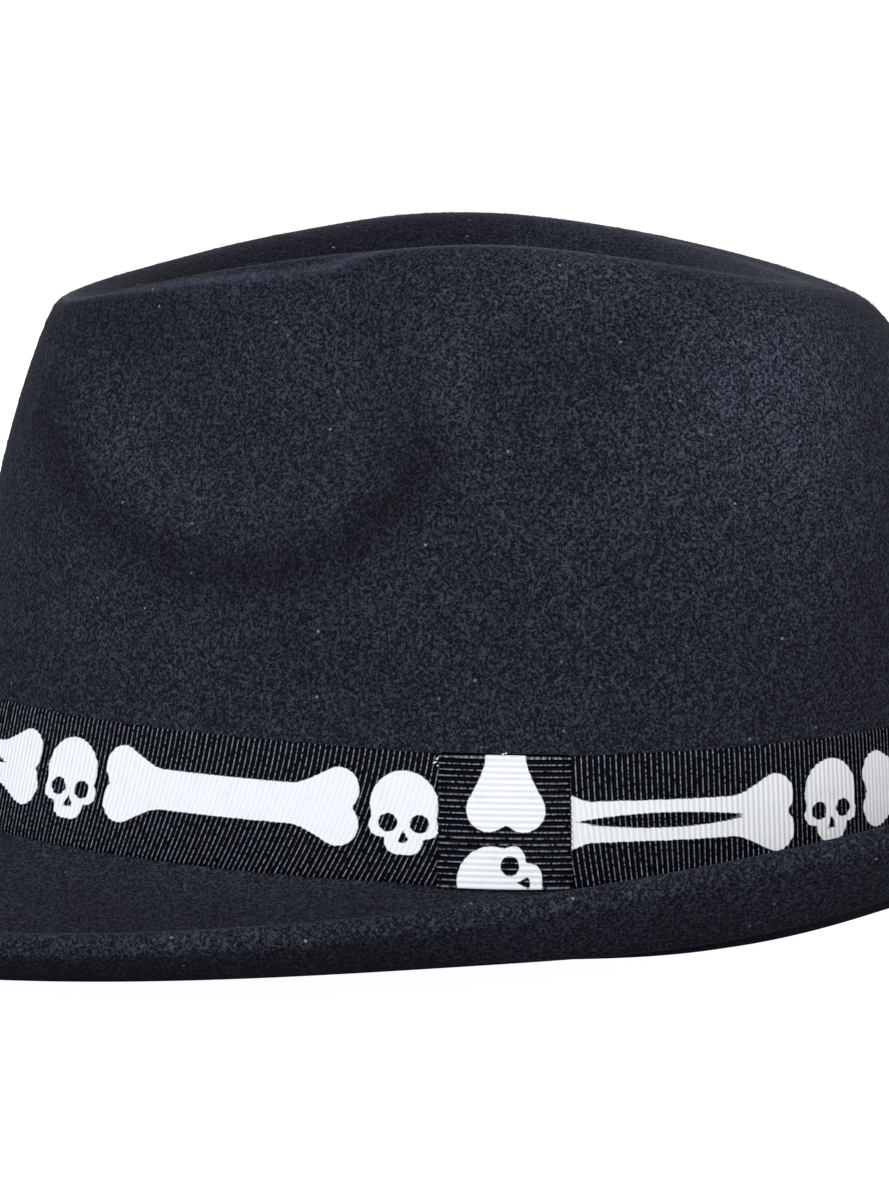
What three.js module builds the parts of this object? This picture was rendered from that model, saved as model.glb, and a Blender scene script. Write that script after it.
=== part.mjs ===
// Wool-felt trilby with a centre-dent crown, two front pinches, a brim that is snapped down in front and
// turned up behind, and a printed grosgrain band with a ribbon keeper on the wearer's left.
//
// Millimetres. +Z is up, the front of the hat faces -Y and the wearer's left is +X. The hat stands on the
// lowest point of its brim at z = 0, with the middle of its bounding box over the origin.
//
// Every surface is a function of the turn round the head, t: t = 0 is the wearer's left, 90 degrees is the
// back and -90 degrees is the front.
import * as THREE from "three";

// ---- Driving dimensions --------------------------------------------------------------------------------
const HEAD = {
  halfLength: 104, // outside of the felt at the foot of the crown, front to back
  halfWidth: 87.5, // the same, side to side
  egg: 0.13, // how much wider the back of the oval is than the front
};

// Three values are at the front, the sides and the back, in that order.
const CROWN = {
  crestScale: [0.74, 0.6, 0.68], // the crest's plan, as a share of the head oval
  crestHeight: [101, 115.5, 105.5],
  taper: [0.2, 0.15, 0.04], // how far the wall leans in, as a share of the oval
  roundness: [3, 2.35, 3.1], // a larger number gives a tighter shoulder
  dentDepth: 26, // below the crest at the sides
  dentFloor: 0.12, // flat part of the dent, as a share of the crest's plan
};

const PINCH = { y: -43, z: 95, radius: 41, softness: 22, depth: 7.5 };

const BRIM = {
  width: [47, 44.6, 42.5],
  fall: [0.48, 0.2, 0.085], // slope of the brim where it leaves the crown
  curlStart: [36.5, 20.5, 3], // distance from the crown where the edge begins to roll up
  edgeHeight: [-11.8, 5.8, 30.5], // height of the edge over the foot of the crown
  // behind each side the brim hangs lower: a bell over the sine of the turn, added to fall and curlStart
  sag: { at: 0.38, reach: 0.31, fall: 0.065, curlStart: 6 },
  breakRadius: 1.1, // inside corner between crown and brim
};

const FELT = 2;
const HEM = { turn: 8.5, slit: 0.3, foldRadius: 2.5, channelRadius: 1.55, rawBevel: 0.6 };
const WIRE = { radius: 0.5, sleeveWall: 0.25, sleeveLength: 14, endGap: 0.6 };
const GAP = 0.3; // between pieces that touch

const RIBBON = { width: 24.5, thickness: 0.4, lift: 0.7 };
const KEEPER = { centre: 9, ease: 9, endGap: 1.2 }; // centre: distance behind the wearer's left side
const SWEATBAND = { height: 33, thickness: 0.8, standOff: 0.5, endGap: 1 };
const PIPING = { radius: 0.75 };
const SEAM = { radius: 0.22, height: 2.2 };
const TAPE = { width: 13, thickness: 0.5 };
const LABEL = { width: 24, height: 13, thickness: 0.35, turn: 128, base: 10 };
const TACK = { length: 2.4, thickness: 0.4, drop: 2.2 };

const TURNS = 60; // facets round the hat

// ---- Small helpers -------------------------------------------------------------------------------------
const radians = THREE.MathUtils.degToRad;
const vec = (x, y, z) => new THREE.Vector3(x, y, z);
const mix = THREE.MathUtils.lerp;
const smooth = (x, low, high) => THREE.MathUtils.smoothstep(x, low, high);

// count + 1 even steps from a to b
function steps(a, b, count) {
  return Array.from({ length: count + 1 }, (_, i) => a + ((b - a) * i) / count);
}

// A value that passes smoothly from front to sides to back.
function around([front, side, back], t) {
  const s = Math.sin(t);
  return side + ((back - front) / 2) * s + ((back + front) / 2 - side) * s * s;
}

// A closed solid from a row of closed sections with equal, even numbers of points. A looped row joins its
// last section to its first, and an open one is closed at each end by rungs between the section's halves.
function loft(sections, looped) {
  const size = sections[0].length;
  const points = sections.flat();
  const index = [];
  const rows = looped ? sections.length : sections.length - 1;
  for (let i = 0; i < rows; i++) {
    const here = i * size;
    const there = ((i + 1) % sections.length) * size;
    for (let j = 0; j < size; j++) {
      const k = (j + 1) % size;
      index.push(here + j, there + j, there + k, here + j, there + k, here + k);
    }
  }
  const last = (sections.length - 1) * size;
  for (let j = 0; !looped && j < size / 2 - 1; j++) {
    const [a, b, c, d] = [j, j + 1, size - 2 - j, size - 1 - j];
    index.push(a, b, c, a, c, d);
    index.push(last + a, last + c, last + b, last + a, last + d, last + c);
  }
  const volume = index.reduce((sum, _, i) => {
    if (i % 3) return sum;
    const [a, b, c] = [points[index[i]], points[index[i + 1]], points[index[i + 2]]];
    return sum + a.dot(b.clone().cross(c));
  }, 0);
  if (volume < 0) index.reverse();
  const geometry = new THREE.BufferGeometry().setFromPoints(points);
  geometry.setIndex(index);
  geometry.computeVertexNormals();
  return geometry;
}

// ---- The hat's surfaces --------------------------------------------------------------------------------
function oval(t) {
  const x = HEAD.halfWidth * Math.cos(t) * (1 + HEAD.egg * Math.sin(t));
  return vec(x, HEAD.halfLength * Math.sin(t), 0);
}

// Level direction that points straight out of the oval.
function outward(t) {
  const step = 1e-4;
  const along = oval(t + step).sub(oval(t - step));
  return vec(along.y, -along.x, 0).normalize();
}

// Turn at a given distance along the oval from the wearer's left side, counted towards the back.
function turnAt(distance) {
  const stride = 0.0005 * Math.sign(distance || 1);
  let t = 0;
  for (let gone = 0; gone < Math.abs(distance); t += stride) {
    gone += oval(t + stride).distanceTo(oval(t));
  }
  return t;
}

// Each front pinch is a round hollow, seen from the side: deep and even within, with a soft rim.
function pinchDepth(y, z) {
  const away = Math.hypot(y - PINCH.y, z - PINCH.z);
  return PINCH.depth * (1 - smooth(away, PINCH.radius - PINCH.softness, PINCH.radius));
}

function pinched(p) {
  const side = Math.abs(p.x) / (Math.abs(p.x) + 12);
  const depth = pinchDepth(p.y, p.z) * side;
  return p.clone().sub(vec(Math.sign(p.x) * depth, 0, 0));
}

// The wall's plan as a share of the oval, at a height from 0 at the foot to 1 at the crest: a straight
// leaning wall that rounds over into the crest along a superellipse.
function wallScale(t, up) {
  const power = around(CROWN.roundness, t);
  const taper = around(CROWN.taper, t);
  const over = 1 - (1 - Math.max(0, up) ** power) ** (1 / power);
  return 1 - taper * up - (1 - taper - around(CROWN.crestScale, t)) * over;
}

// Crown wall: rise runs from 0 at the foot to 1 at the crest, in steps that close up towards the crest.
function wall(t, rise) {
  const up = Math.sin((rise * Math.PI) / 2) ** (2 / around(CROWN.roundness, t));
  const p = oval(t).multiplyScalar(wallScale(t, up));
  p.z = around(CROWN.crestHeight, t) * up;
  return pinched(p);
}

// Centre dent: falls from the crest, share = 1, to an even floor at the middle, share = 0.
function dent(t, share) {
  const crest = around(CROWN.crestHeight, t);
  const floor = CROWN.crestHeight[1] - CROWN.dentDepth;
  const p = oval(t).multiplyScalar(share * around(CROWN.crestScale, t));
  p.z = mix(floor, crest, smooth(share, CROWN.dentFloor, 1));
  return pinched(p);
}

// Height of the brim at a distance out from the crown: an even fall, then a roll that grows as a square.
function brimHeight(t, out) {
  const sag = Math.exp(-(((Math.sin(t) - BRIM.sag.at) / BRIM.sag.reach) ** 2));
  const fall = around(BRIM.fall, t) + BRIM.sag.fall * sag;
  const start = around(BRIM.curlStart, t) + BRIM.sag.curlStart * sag;
  const width = around(BRIM.width, t);
  const curl = (around(BRIM.edgeHeight, t) + fall * width) / (width - start) ** 2;
  return -fall * out + curl * Math.max(0, out - start) ** 2;
}

function brim(t, out) {
  const p = oval(t).addScaledVector(outward(t), out);
  p.z = brimHeight(t, out);
  return p;
}

// Inside corner between crown and brim, a quadratic curve from share = 0 on the wall to 1 on the brim.
function breakCurve(t, share) {
  const r = BRIM.breakRadius;
  return wallAt(t, r, 0)
    .multiplyScalar((1 - share) ** 2)
    .addScaledVector(oval(t), 2 * share * (1 - share))
    .addScaledVector(brim(t, r), share ** 2);
}

// Point on the crown wall at a given height, for the pieces that lie on it.
function wallAt(t, height, off) {
  const scale = wallScale(t, height / around(CROWN.crestHeight, t));
  const p = oval(t).multiplyScalar(scale).addScaledVector(outward(t), off);
  p.z = height;
  return p;
}

// Unit normal of a surface that is a function of t and one more number, pointing away from the head.
function normalOf(surface, t, s) {
  const step = 1e-3;
  const round = surface(t + step, s).sub(surface(t - step, s));
  const down = surface(t, s + step).sub(surface(t, s - step));
  return down.cross(round).normalize();
}

// ---- Felt body -----------------------------------------------------------------------------------------
// The outside runs from the middle of the dent, over the crest, down the wall and out along the brim. Each
// entry is a function of t that gives the point there and the unit normal.
function outerRows() {
  const rows = [];
  const add = (surface, s) => rows.push((t) => ({ point: surface(t, s), normal: normalOf(surface, t, s) }));
  for (const share of [0.12, 0.34, 0.54, 0.7, 0.84, 0.94]) add(dent, share);
  const down = (t, s) => wall(t, 1 - s);
  for (const s of [0.02, 0.14, 0.28, 0.43, 0.58, 0.73, 0.88]) add(down, s);
  for (const s of [0, 0.5, 1]) add(breakCurve, s);
  const across = (t, s) => brim(t, mix(BRIM.breakRadius, around(BRIM.width, t), s));
  for (const s of [0.16, 0.34, 0.5, 0.62, 0.72, 0.81, 0.9, 1]) add(across, s);
  return rows;
}

// Point of the brim a distance in from its edge and a depth under its top face.
function underBrim(t, inset, depth) {
  const out = around(BRIM.width, t) - inset;
  return brim(t, out).addScaledVector(normalOf(brim, t, out), -depth);
}

// Point near the brim's edge, at an angle on a circle round the middle of the fold.
function foldPoint(t, radius, angle) {
  const width = around(BRIM.width, t);
  const up = normalOf(brim, t, width);
  const away = brim(t, width).sub(brim(t, width - 0.01)).normalize();
  const middle = brim(t, width).addScaledVector(up, -HEM.foldRadius);
  return middle.addScaledVector(away, radius * Math.cos(angle)).addScaledVector(up, radius * Math.sin(angle));
}

function feltBody() {
  const turns = steps(0, 2 * Math.PI, TURNS).slice(0, TURNS);
  const ring = (at) => turns.map(at);
  const outer = outerRows();
  const sections = outer.map((row) => ring((t) => row(t).point));
  const slitTop = FELT;
  const slitBottom = FELT + HEM.slit;
  const hemBottom = 2 * HEM.foldRadius;
  // round the fold, along the underside of the turned hem, and back up its raw edge
  for (const degrees of [55, 15, -25, -65]) {
    sections.push(ring((t) => foldPoint(t, HEM.foldRadius, radians(degrees))));
  }
  const midHem = HEM.turn * 0.6;
  for (const [inset, depth] of [
    [HEM.turn * 0.2, hemBottom],
    [midHem, hemBottom],
    [HEM.turn - HEM.rawBevel, hemBottom],
    [HEM.turn, hemBottom - HEM.rawBevel],
    [HEM.turn, slitBottom],
    [midHem, slitBottom],
  ]) {
    sections.push(ring((t) => underBrim(t, inset, depth)));
  }
  // round the wire's channel and out of the slit again
  const lowLip = Math.PI - Math.asin((HEM.foldRadius - slitBottom) / HEM.channelRadius);
  const highLip = 3 * Math.PI - Math.asin((HEM.foldRadius - slitTop) / HEM.channelRadius);
  for (const angle of steps(lowLip, highLip, 6)) {
    sections.push(ring((t) => foldPoint(t, HEM.channelRadius, angle)));
  }
  sections.push(ring((t) => underBrim(t, midHem, slitTop)));
  sections.push(ring((t) => underBrim(t, HEM.turn + HEM.rawBevel, slitTop)));
  // the underside and the inside follow the outside, one thickness of felt away
  const underHem = 3; // the last rows of the brim's top, which have the turned hem below them
  const inner = outer.slice(0, -underHem).reverse();
  for (const row of inner) {
    sections.push(
      ring((t) => {
        const { point, normal } = row(t);
        return point.addScaledVector(normal, -FELT);
      }),
    );
  }
  return loft(sections, false);
}

// ---- Pieces carried round the hat ----------------------------------------------------------------------
// A strip or cord: section(t) gives the corners of its section at a turn.
function carried(section, from, to, count) {
  const whole = Math.abs(to - from) > 2 * Math.PI - 1e-6;
  const turns = steps(from, to, count);
  return loft((whole ? turns.slice(0, count) : turns).map(section), whole);
}

// A flat strip on the crown wall: low and high give its edges, near its distance off the felt.
function stripSection(low, high, near, thick) {
  const heights = steps(low, high, 3);
  return (t) => [
    ...heights.map((z) => wallAt(t, z, near(t) + thick)),
    ...heights.toReversed().map((z) => wallAt(t, z, near(t))),
  ];
}

// A round cord whose middle is at centre(t), with level and upright axes.
function cordSection(centre, radius, sides) {
  return (t) =>
    steps(0, 2 * Math.PI, sides)
      .slice(0, sides)
      .map((a) =>
        centre(t)
          .addScaledVector(outward(t), radius * Math.cos(a))
          .add(vec(0, 0, radius * Math.sin(a))),
      );
}

const keeperFrom = turnAt(KEEPER.centre - RIBBON.width / 2);
const keeperTo = turnAt(KEEPER.centre + RIBBON.width / 2);
const keeperMiddle = turnAt(KEEPER.centre);
const bandLow = RIBBON.lift;
const bandHigh = RIBBON.lift + RIBBON.width;
const leaf = RIBBON.thickness + GAP; // one ribbon and the space to the next piece

// The band lies close to the felt and eases out over the back leaf of the keeper.
function bandStandOff(t) {
  const away = Math.abs(Math.atan2(Math.sin(t - keeperMiddle), Math.cos(t - keeperMiddle)));
  const past = away - (keeperTo - keeperFrom) / 2;
  const ease = (KEEPER.ease / HEAD.halfLength) * 1.1;
  return GAP + leaf * (1 - smooth(past, 0.01, ease));
}

function hatBand() {
  const halfGap = 0.6 / HEAD.halfLength;
  const section = stripSection(bandLow, bandHigh, bandStandOff, RIBBON.thickness);
  return carried(section, keeperMiddle + halfGap - 2 * Math.PI, keeperMiddle - halfGap, TURNS);
}

// The keeper is one length of ribbon wrapped round the band, with its ends meeting behind it.
function bandKeeper() {
  const half = RIBBON.thickness / 2;
  const near = GAP + half;
  const far = near + 2 * leaf;
  const low = bandLow - GAP - half;
  const high = bandHigh + GAP + half;
  const middle = (low + high) / 2;
  const end = KEEPER.endGap / 2;
  // middle line of the loop: distance off the felt and height, with rounded folds
  const path = [
    [near, middle - end],
    [near, middle - 6],
    [near, low + 0.5],
    [near + 0.35, low],
    [far - 0.35, low],
    [far, low + 0.5],
    [far, middle - 6],
    [far, middle + 6],
    [far, high - 0.5],
    [far - 0.35, high],
    [near + 0.35, high],
    [near, high - 0.5],
    [near, middle + 6],
    [near, middle + end],
  ];
  const turns = steps(keeperFrom, keeperTo, 6);
  const sections = path.map(([off, z], i) => {
    const [a, b] = [path[Math.max(0, i - 1)], path[Math.min(path.length - 1, i + 1)]];
    const along = new THREE.Vector2(b[0] - a[0], b[1] - a[1]).normalize();
    const face = (side) => [off - along.y * side * half, z + along.x * side * half];
    const [outOff, outZ] = face(-1);
    const [inOff, inZ] = face(1);
    return [
      ...turns.map((t) => wallAt(t, outZ, outOff)),
      ...turns.toReversed().map((t) => wallAt(t, inZ, inOff)),
    ];
  });
  return loft(sections, false);
}

// Thread that whips the keeper's two ends together, in the gap between them.
function keeperTack() {
  const middle = (bandLow + bandHigh) / 2;
  const half = KEEPER.endGap / 2 - GAP;
  const section = stripSection(middle - half, middle + half, () => GAP, RIBBON.thickness);
  const inset = (keeperTo - keeperFrom) * 0.12;
  return carried(section, keeperFrom + inset, keeperTo - inset, 5);
}

// A thread tack: a small bar that leaves the felt over the band's top edge and bends down its face.
function bandTack(t) {
  const half = TACK.length / 2 / HEAD.halfLength;
  const thick = TACK.thickness;
  const off = GAP + RIBBON.thickness + GAP;
  const top = bandHigh + GAP;
  const low = top - TACK.drop;
  // inner and outer corner, as distance off the felt and height, at the felt, the bend and the end
  const stations = [
    [[GAP, top], [GAP, top + thick]],
    [[off, top], [off + thick, top + thick]],
    [[off, low], [off + thick, low]],
  ];
  const sections = stations.map(([[inOff, inZ], [outOff, outZ]]) => [
    wallAt(t - half, inZ, inOff),
    wallAt(t + half, inZ, inOff),
    wallAt(t + half, outZ, outOff),
    wallAt(t - half, outZ, outOff),
  ]);
  return loft(sections, false);
}

const insideFace = -FELT - SWEATBAND.standOff - SWEATBAND.thickness;

function sweatband() {
  const halfGap = SWEATBAND.endGap / 2 / HEAD.halfWidth;
  const near = () => insideFace;
  const section = stripSection(GAP, SWEATBAND.height, near, SWEATBAND.thickness);
  return carried(section, Math.PI / 2 + halfGap - 2 * Math.PI, Math.PI / 2 - halfGap, TURNS);
}

// Covered cord along the sweatband's lower edge, where it is sewn to the felt.
function sweatbandPiping() {
  const off = insideFace + SWEATBAND.thickness / 2 - 0.35;
  const centre = (t) => wallAt(t, -PIPING.radius, off);
  return carried(cordSection(centre, PIPING.radius, 6), 0, 2 * Math.PI, TURNS);
}

function sweatbandSeam() {
  const centre = (t) => wallAt(t, SEAM.height, insideFace - GAP - SEAM.radius);
  return carried(cordSection(centre, SEAM.radius, 6), 0, 2 * Math.PI, TURNS);
}

function jointTape() {
  const half = TAPE.width / 2 / HEAD.halfWidth;
  const low = SEAM.height + SEAM.radius + GAP;
  const near = () => insideFace - GAP - TAPE.thickness;
  const section = stripSection(low, SWEATBAND.height - 0.5, near, TAPE.thickness);
  return carried(section, Math.PI / 2 - half, Math.PI / 2 + half, 4);
}

// Blank size tab on the sweatband, to the right of its joint.
function sizeLabel() {
  const half = LABEL.width / 2 / HEAD.halfLength;
  const middle = radians(LABEL.turn);
  const near = () => insideFace - GAP - LABEL.thickness;
  const section = stripSection(LABEL.base, LABEL.base + LABEL.height, near, LABEL.thickness);
  return carried(section, middle - half, middle + half, 5);
}

function wireMiddle(t) {
  return foldPoint(t, 0, 0);
}

function wireSection(radius) {
  return (t) =>
    steps(0, 2 * Math.PI, 6)
      .slice(0, 6)
      .map((a) => foldPoint(t, radius, a));
}

const wireJoint = Math.PI / 2;
const brimRadius = wireMiddle(wireJoint).length();

function brimWire() {
  const half = WIRE.endGap / 2 / brimRadius;
  return carried(wireSection(WIRE.radius), wireJoint + half - 2 * Math.PI, wireJoint - half, TURNS);
}

// Crimped sleeve over the wire's two ends: a tube, so each section is looped and its ends are rings.
function brimWireSleeve() {
  const half = WIRE.sleeveLength / 2 / brimRadius;
  const inner = WIRE.radius + GAP;
  const outer = inner + WIRE.sleeveWall;
  const turns = steps(wireJoint - half, wireJoint + half, 4);
  const sections = steps(0, 2 * Math.PI, 8)
    .slice(0, 8)
    .map((a) => [
      ...turns.map((t) => foldPoint(t, outer, a)),
      ...turns.toReversed().map((t) => foldPoint(t, inner, a)),
    ]);
  return loft(sections, true);
}

// ---- Materials and assembly ----------------------------------------------------------------------------
const LOOKS = {
  felt: { color: 0x25272f, roughness: 0.95, metalness: 0 },
  ribbon: { color: 0x0b0c12, roughness: 0.6, metalness: 0 },
  thread: { color: 0x14151c, roughness: 0.75, metalness: 0 },
  sweatband: { color: 0x101116, roughness: 0.7, metalness: 0 },
  label: { color: 0xe6e4dc, roughness: 0.8, metalness: 0 },
  steel: { color: 0x9a9da3, roughness: 0.35, metalness: 1 },
  brass: { color: 0xb08d4f, roughness: 0.35, metalness: 1 },
};

const PIECES = [
  ["felt_body", "felt", feltBody()],
  ["hat_band", "ribbon", hatBand()],
  ["band_keeper", "ribbon", bandKeeper()],
  ["keeper_tack", "thread", keeperTack()],
  ["band_tack_front", "thread", bandTack(-Math.PI / 2)],
  ["band_tack_back", "thread", bandTack(Math.PI / 2)],
  ["band_tack_right", "thread", bandTack(Math.PI)],
  ["sweatband", "sweatband", sweatband()],
  ["sweatband_piping", "sweatband", sweatbandPiping()],
  ["sweatband_seam", "thread", sweatbandSeam()],
  ["sweatband_joint_tape", "sweatband", jointTape()],
  ["size_label", "label", sizeLabel()],
  ["brim_wire", "steel", brimWire()],
  ["brim_wire_sleeve", "brass", brimWireSleeve()],
];

const hat = new THREE.Group();
for (const [name, look, geometry] of PIECES) {
  const mesh = new THREE.Mesh(geometry, new THREE.MeshStandardMaterial(LOOKS[look]));
  mesh.name = name;
  hat.add(mesh);
}

// Stand the hat on its brim, with the middle of its outline over the origin.
const extent = new THREE.Box3().setFromObject(hat, true);
const middle = extent.getCenter(vec(0, 0, 0));
hat.position.set(-middle.x, -middle.y, -extent.min.z);

export default hat;
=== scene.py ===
# Wool-felt trilby with a printed grosgrain band: the detailed pieces, their materials and the studio.
# Laid out as a Blender add-on and run as a script.
import math

import bpy
import numpy as np
from mathutils import Matrix, Vector


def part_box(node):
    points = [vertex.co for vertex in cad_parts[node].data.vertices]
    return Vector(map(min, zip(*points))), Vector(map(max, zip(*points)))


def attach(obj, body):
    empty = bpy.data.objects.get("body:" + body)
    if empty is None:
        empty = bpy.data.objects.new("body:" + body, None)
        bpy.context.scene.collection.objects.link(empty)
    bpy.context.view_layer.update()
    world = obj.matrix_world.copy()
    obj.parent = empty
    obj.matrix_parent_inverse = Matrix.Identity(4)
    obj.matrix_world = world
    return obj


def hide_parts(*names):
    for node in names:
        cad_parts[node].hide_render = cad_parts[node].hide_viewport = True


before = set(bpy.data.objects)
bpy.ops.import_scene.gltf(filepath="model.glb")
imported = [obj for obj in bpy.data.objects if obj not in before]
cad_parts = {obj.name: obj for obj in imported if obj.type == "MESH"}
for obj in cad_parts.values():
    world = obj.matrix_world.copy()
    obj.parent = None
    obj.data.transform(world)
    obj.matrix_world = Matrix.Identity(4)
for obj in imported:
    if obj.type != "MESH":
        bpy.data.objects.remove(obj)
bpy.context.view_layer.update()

bl_info = {
    "name": "Felt trilby with a printed band",
    "version": (1, 0, 0),
    "blender": (4, 5, 0),
    "location": "View3D > Sidebar > Trilby",
    "description": "Builds the felt, ribbon, thread and sweatband of a trilby around its packed frame",
    "category": "Add Mesh",
}

# ---- Dimensions, in millimetres -------------------------------------------------------------------------
# Hat coordinates: the foot of the crown is at z = 0, the front faces -Y and the wearer's left is +X.
# The turn t goes round the hat from the wearer's left: 90 degrees is the back, -90 degrees is the front.
# Three values stand for the front, the sides and the back, in that order.
MM = 0.001
HALF_LENGTH = 104.0
HALF_WIDTH = 87.5
EGG = 0.13  # how much wider the back of the oval is than the front

CREST_SCALE = (0.74, 0.6, 0.68)
CREST_HEIGHT = (101.0, 115.5, 105.5)
TAPER = (0.2, 0.15, 0.04)
ROUNDNESS = (3.0, 2.35, 3.1)
DENT_DEPTH = 26.0
DENT_FLOOR = 0.12

PINCH_Y, PINCH_Z = -43.0, 95.0
PINCH_RADIUS, PINCH_SOFTNESS, PINCH_DEPTH = 41.0, 22.0, 7.5
PINCH_NEAR_MIDDLE = 12.0  # the pinch fades out this near to the hat's middle plane

BRIM_WIDTH = (47.0, 44.6, 42.5)
BRIM_FALL = (0.48, 0.2, 0.085)
CURL_START = (36.5, 20.5, 3.0)
EDGE_HEIGHT = (-11.8, 5.8, 30.5)
# behind each side the brim hangs lower: a bell over the sine of the turn, added to its fall and curl start
SAG_AT, SAG_REACH, SAG_FALL, SAG_CURL_START = 0.38, 0.31, 0.065, 6.0
BREAK_RADIUS = 1.1

FELT = 2.0
HEM_TURN, HEM_SLIT, FOLD_RADIUS, CHANNEL_RADIUS, RAW_BEVEL = 8.5, 0.3, 2.5, 1.55, 0.6
GAP = 0.3

RIBBON_THICKNESS, RIBBON_LIFT = 0.4, 0.7
KEEPER_CENTRE, KEEPER_EASE, KEEPER_END_GAP = 9.0, 9.0, 1.2
KEEPER_GATHER, GATHER_REACH, KEEPER_SLACK = 0.7, 30.0, 0.1  # the keeper draws the band's top edge down
SWEAT_HEIGHT, SWEAT_THICKNESS, SWEAT_STAND_OFF, SWEAT_END_GAP = 33.0, 0.8, 0.5, 1.0
PIPING_RADIUS = 0.75
SEAM_HEIGHT = 2.2
TAPE_WIDTH, TAPE_THICKNESS = 13.0, 0.5
LABEL_WIDTH, LABEL_HEIGHT, LABEL_THICKNESS = 24.0, 13.0, 0.35
LABEL_TURN, LABEL_BASE = 128.0, 10.0
TACK_DROP = 2.2

# The print: skulls and bones in turn, every second bone split. Distances run along the ribbon from the
# wearer's left, towards the back.
SKULL_WIDTH, SKULL_TOP = 13.8, 20.6
BONE_LENGTH, BONE_AXIS = 54.4, 13.3
FIRST_BONE_DROP = 1.5  # the bone behind the keeper is printed lower
PRINT_PITCH = 71.8
FIRST_BONE = 39.1  # middle of the split bone behind the keeper
LAST_SKULL = -9.8  # middle of the skull in front of the keeper


# ---- Settings that a user would change -------------------------------------------------------------------
def from_hex(code):
    """An sRGB hex colour as linear red, green and blue."""
    shares = [int(code[i : i + 2], 16) / 255 for i in (0, 2, 4)]
    return [c / 12.92 if c <= 0.04045 else ((c + 0.055) / 1.055) ** 2.4 for c in shares]


def colour_setting(name, description, code):
    return bpy.props.FloatVectorProperty(
        name=name, description=description, subtype="COLOR", size=3, min=0, max=1, default=from_hex(code)
    )


def length_setting(name, description, millimetres):
    return bpy.props.FloatProperty(
        name=name, description=description, default=millimetres * MM, unit="LENGTH", min=0, precision=5
    )


class TrilbySizes(bpy.types.PropertyGroup):
    """Sizes of the finishing detail."""

    ribbon_width: length_setting("Ribbon width", "Width of the band and of the keeper", 24.5)
    rib_pitch: length_setting("Rib pitch", "Distance from one rib of the grosgrain to the next", 1.12)
    rib_depth: length_setting("Rib depth", "Height of a rib over the groove beside it", 0.34)
    fibre_length: length_setting("Fibre length", "Mean length of the loose wool fibres", 1.5)
    fibre_radius: length_setting("Fibre radius", "Half the thickness of a loose wool fibre", 0.042)
    fibre_count: bpy.props.IntProperty(
        name="Loose fibres", description="How many loose fibres lie on the felt", default=15000, min=0
    )


class TrilbyColours(bpy.types.PropertyGroup):
    """Colours of the cloths, threads and metals."""

    felt_dark: colour_setting("Felt, dark", "Colour between the fibres", "090a10")
    felt_light: colour_setting("Felt, light", "Colour of the fibres' backs", "5b5f74")
    fibre: colour_setting("Loose fibre", "Colour of the loose wool fibres", "474b5c")
    ribbon_groove: colour_setting("Ribbon groove", "Colour between two ribs", "010207")
    # painted highlight: the grey light on the back of each rib of the black ribbon
    ribbon_rib_highlight: colour_setting("Ribbon rib", "Colour on the back of a rib", "9aa0b2")
    ink: colour_setting("Ink", "Colour of the print on the ribbon", "eef1f7")
    thread: colour_setting("Thread", "Colour of the sewing thread", "14151c")
    sweatband: colour_setting("Sweatband", "Colour of the sweatband and its cord", "101116")
    label: colour_setting("Size tab", "Colour of the blank satin tab", "e6e4dc")
    floor: colour_setting("Floor", "Colour of the studio floor", "f4f5f7")


def sizes():
    return bpy.context.scene.trilby_sizes


def colours():
    return bpy.context.scene.trilby_colours


# ---- The hat's surfaces ----------------------------------------------------------------------------------
def around(values, t):
    """A value that passes smoothly from front to sides to back: a quadratic in the sine of the turn."""
    front, side, back = values
    s = np.sin(t)
    return side + (back - front) / 2 * s + ((back + front) / 2 - side) * s**2


def smooth(x, low, high):
    """0 below low, 1 above high, and three squares less two cubes of the share between."""
    share = np.clip((x - low) / (high - low), 0, 1)
    return share**2 * (3 - 2 * share)


def points(x, y, z):
    return np.stack(np.broadcast_arrays(x, y, z), axis=-1).astype(float)


def unit(vectors):
    return vectors / np.linalg.norm(vectors, axis=-1, keepdims=True)


def oval(t):
    """The head oval: cosine times one plus a share of sine across, sine along."""
    return points(HALF_WIDTH * np.cos(t) * (1 + EGG * np.sin(t)), HALF_LENGTH * np.sin(t), 0 * t)


def outward(t):
    """Level unit normal of the oval: its derivative by the turn, turned a quarter to the right."""
    across = HALF_WIDTH * (EGG * np.cos(t) ** 2 - np.sin(t) * (1 + EGG * np.sin(t)))
    return unit(points(HALF_LENGTH * np.cos(t), -across, 0 * t))


TABLE_TURNS = np.linspace(-2.5 * np.pi, 2.5 * np.pi, 40001)
_table_steps = np.linalg.norm(np.diff(oval(TABLE_TURNS), axis=0), axis=1)
TABLE_DISTANCES = np.concatenate([[0], np.cumsum(_table_steps)])
TABLE_DISTANCES -= np.interp(0, TABLE_TURNS, TABLE_DISTANCES)
OVAL_LENGTH = float(np.interp(2 * np.pi, TABLE_TURNS, TABLE_DISTANCES))


def turn_at(distance):
    """Turn at a distance along the oval from the wearer's left, counted towards the back."""
    return np.interp(distance, TABLE_DISTANCES, TABLE_TURNS)


def pinched(p):
    """The front pinches: a round hollow on each side, even within and with a soft rim, fading out at the
    middle plane. Its depth moves a point level, towards the middle."""
    x, y, z = p[..., 0], p[..., 1], p[..., 2]
    away = np.hypot(y - PINCH_Y, z - PINCH_Z)
    depth = PINCH_DEPTH * (1 - smooth(away, PINCH_RADIUS - PINCH_SOFTNESS, PINCH_RADIUS))
    side = np.abs(x) / (np.abs(x) + PINCH_NEAR_MIDDLE)
    return points(x - np.sign(x) * depth * side, y, z)


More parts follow.
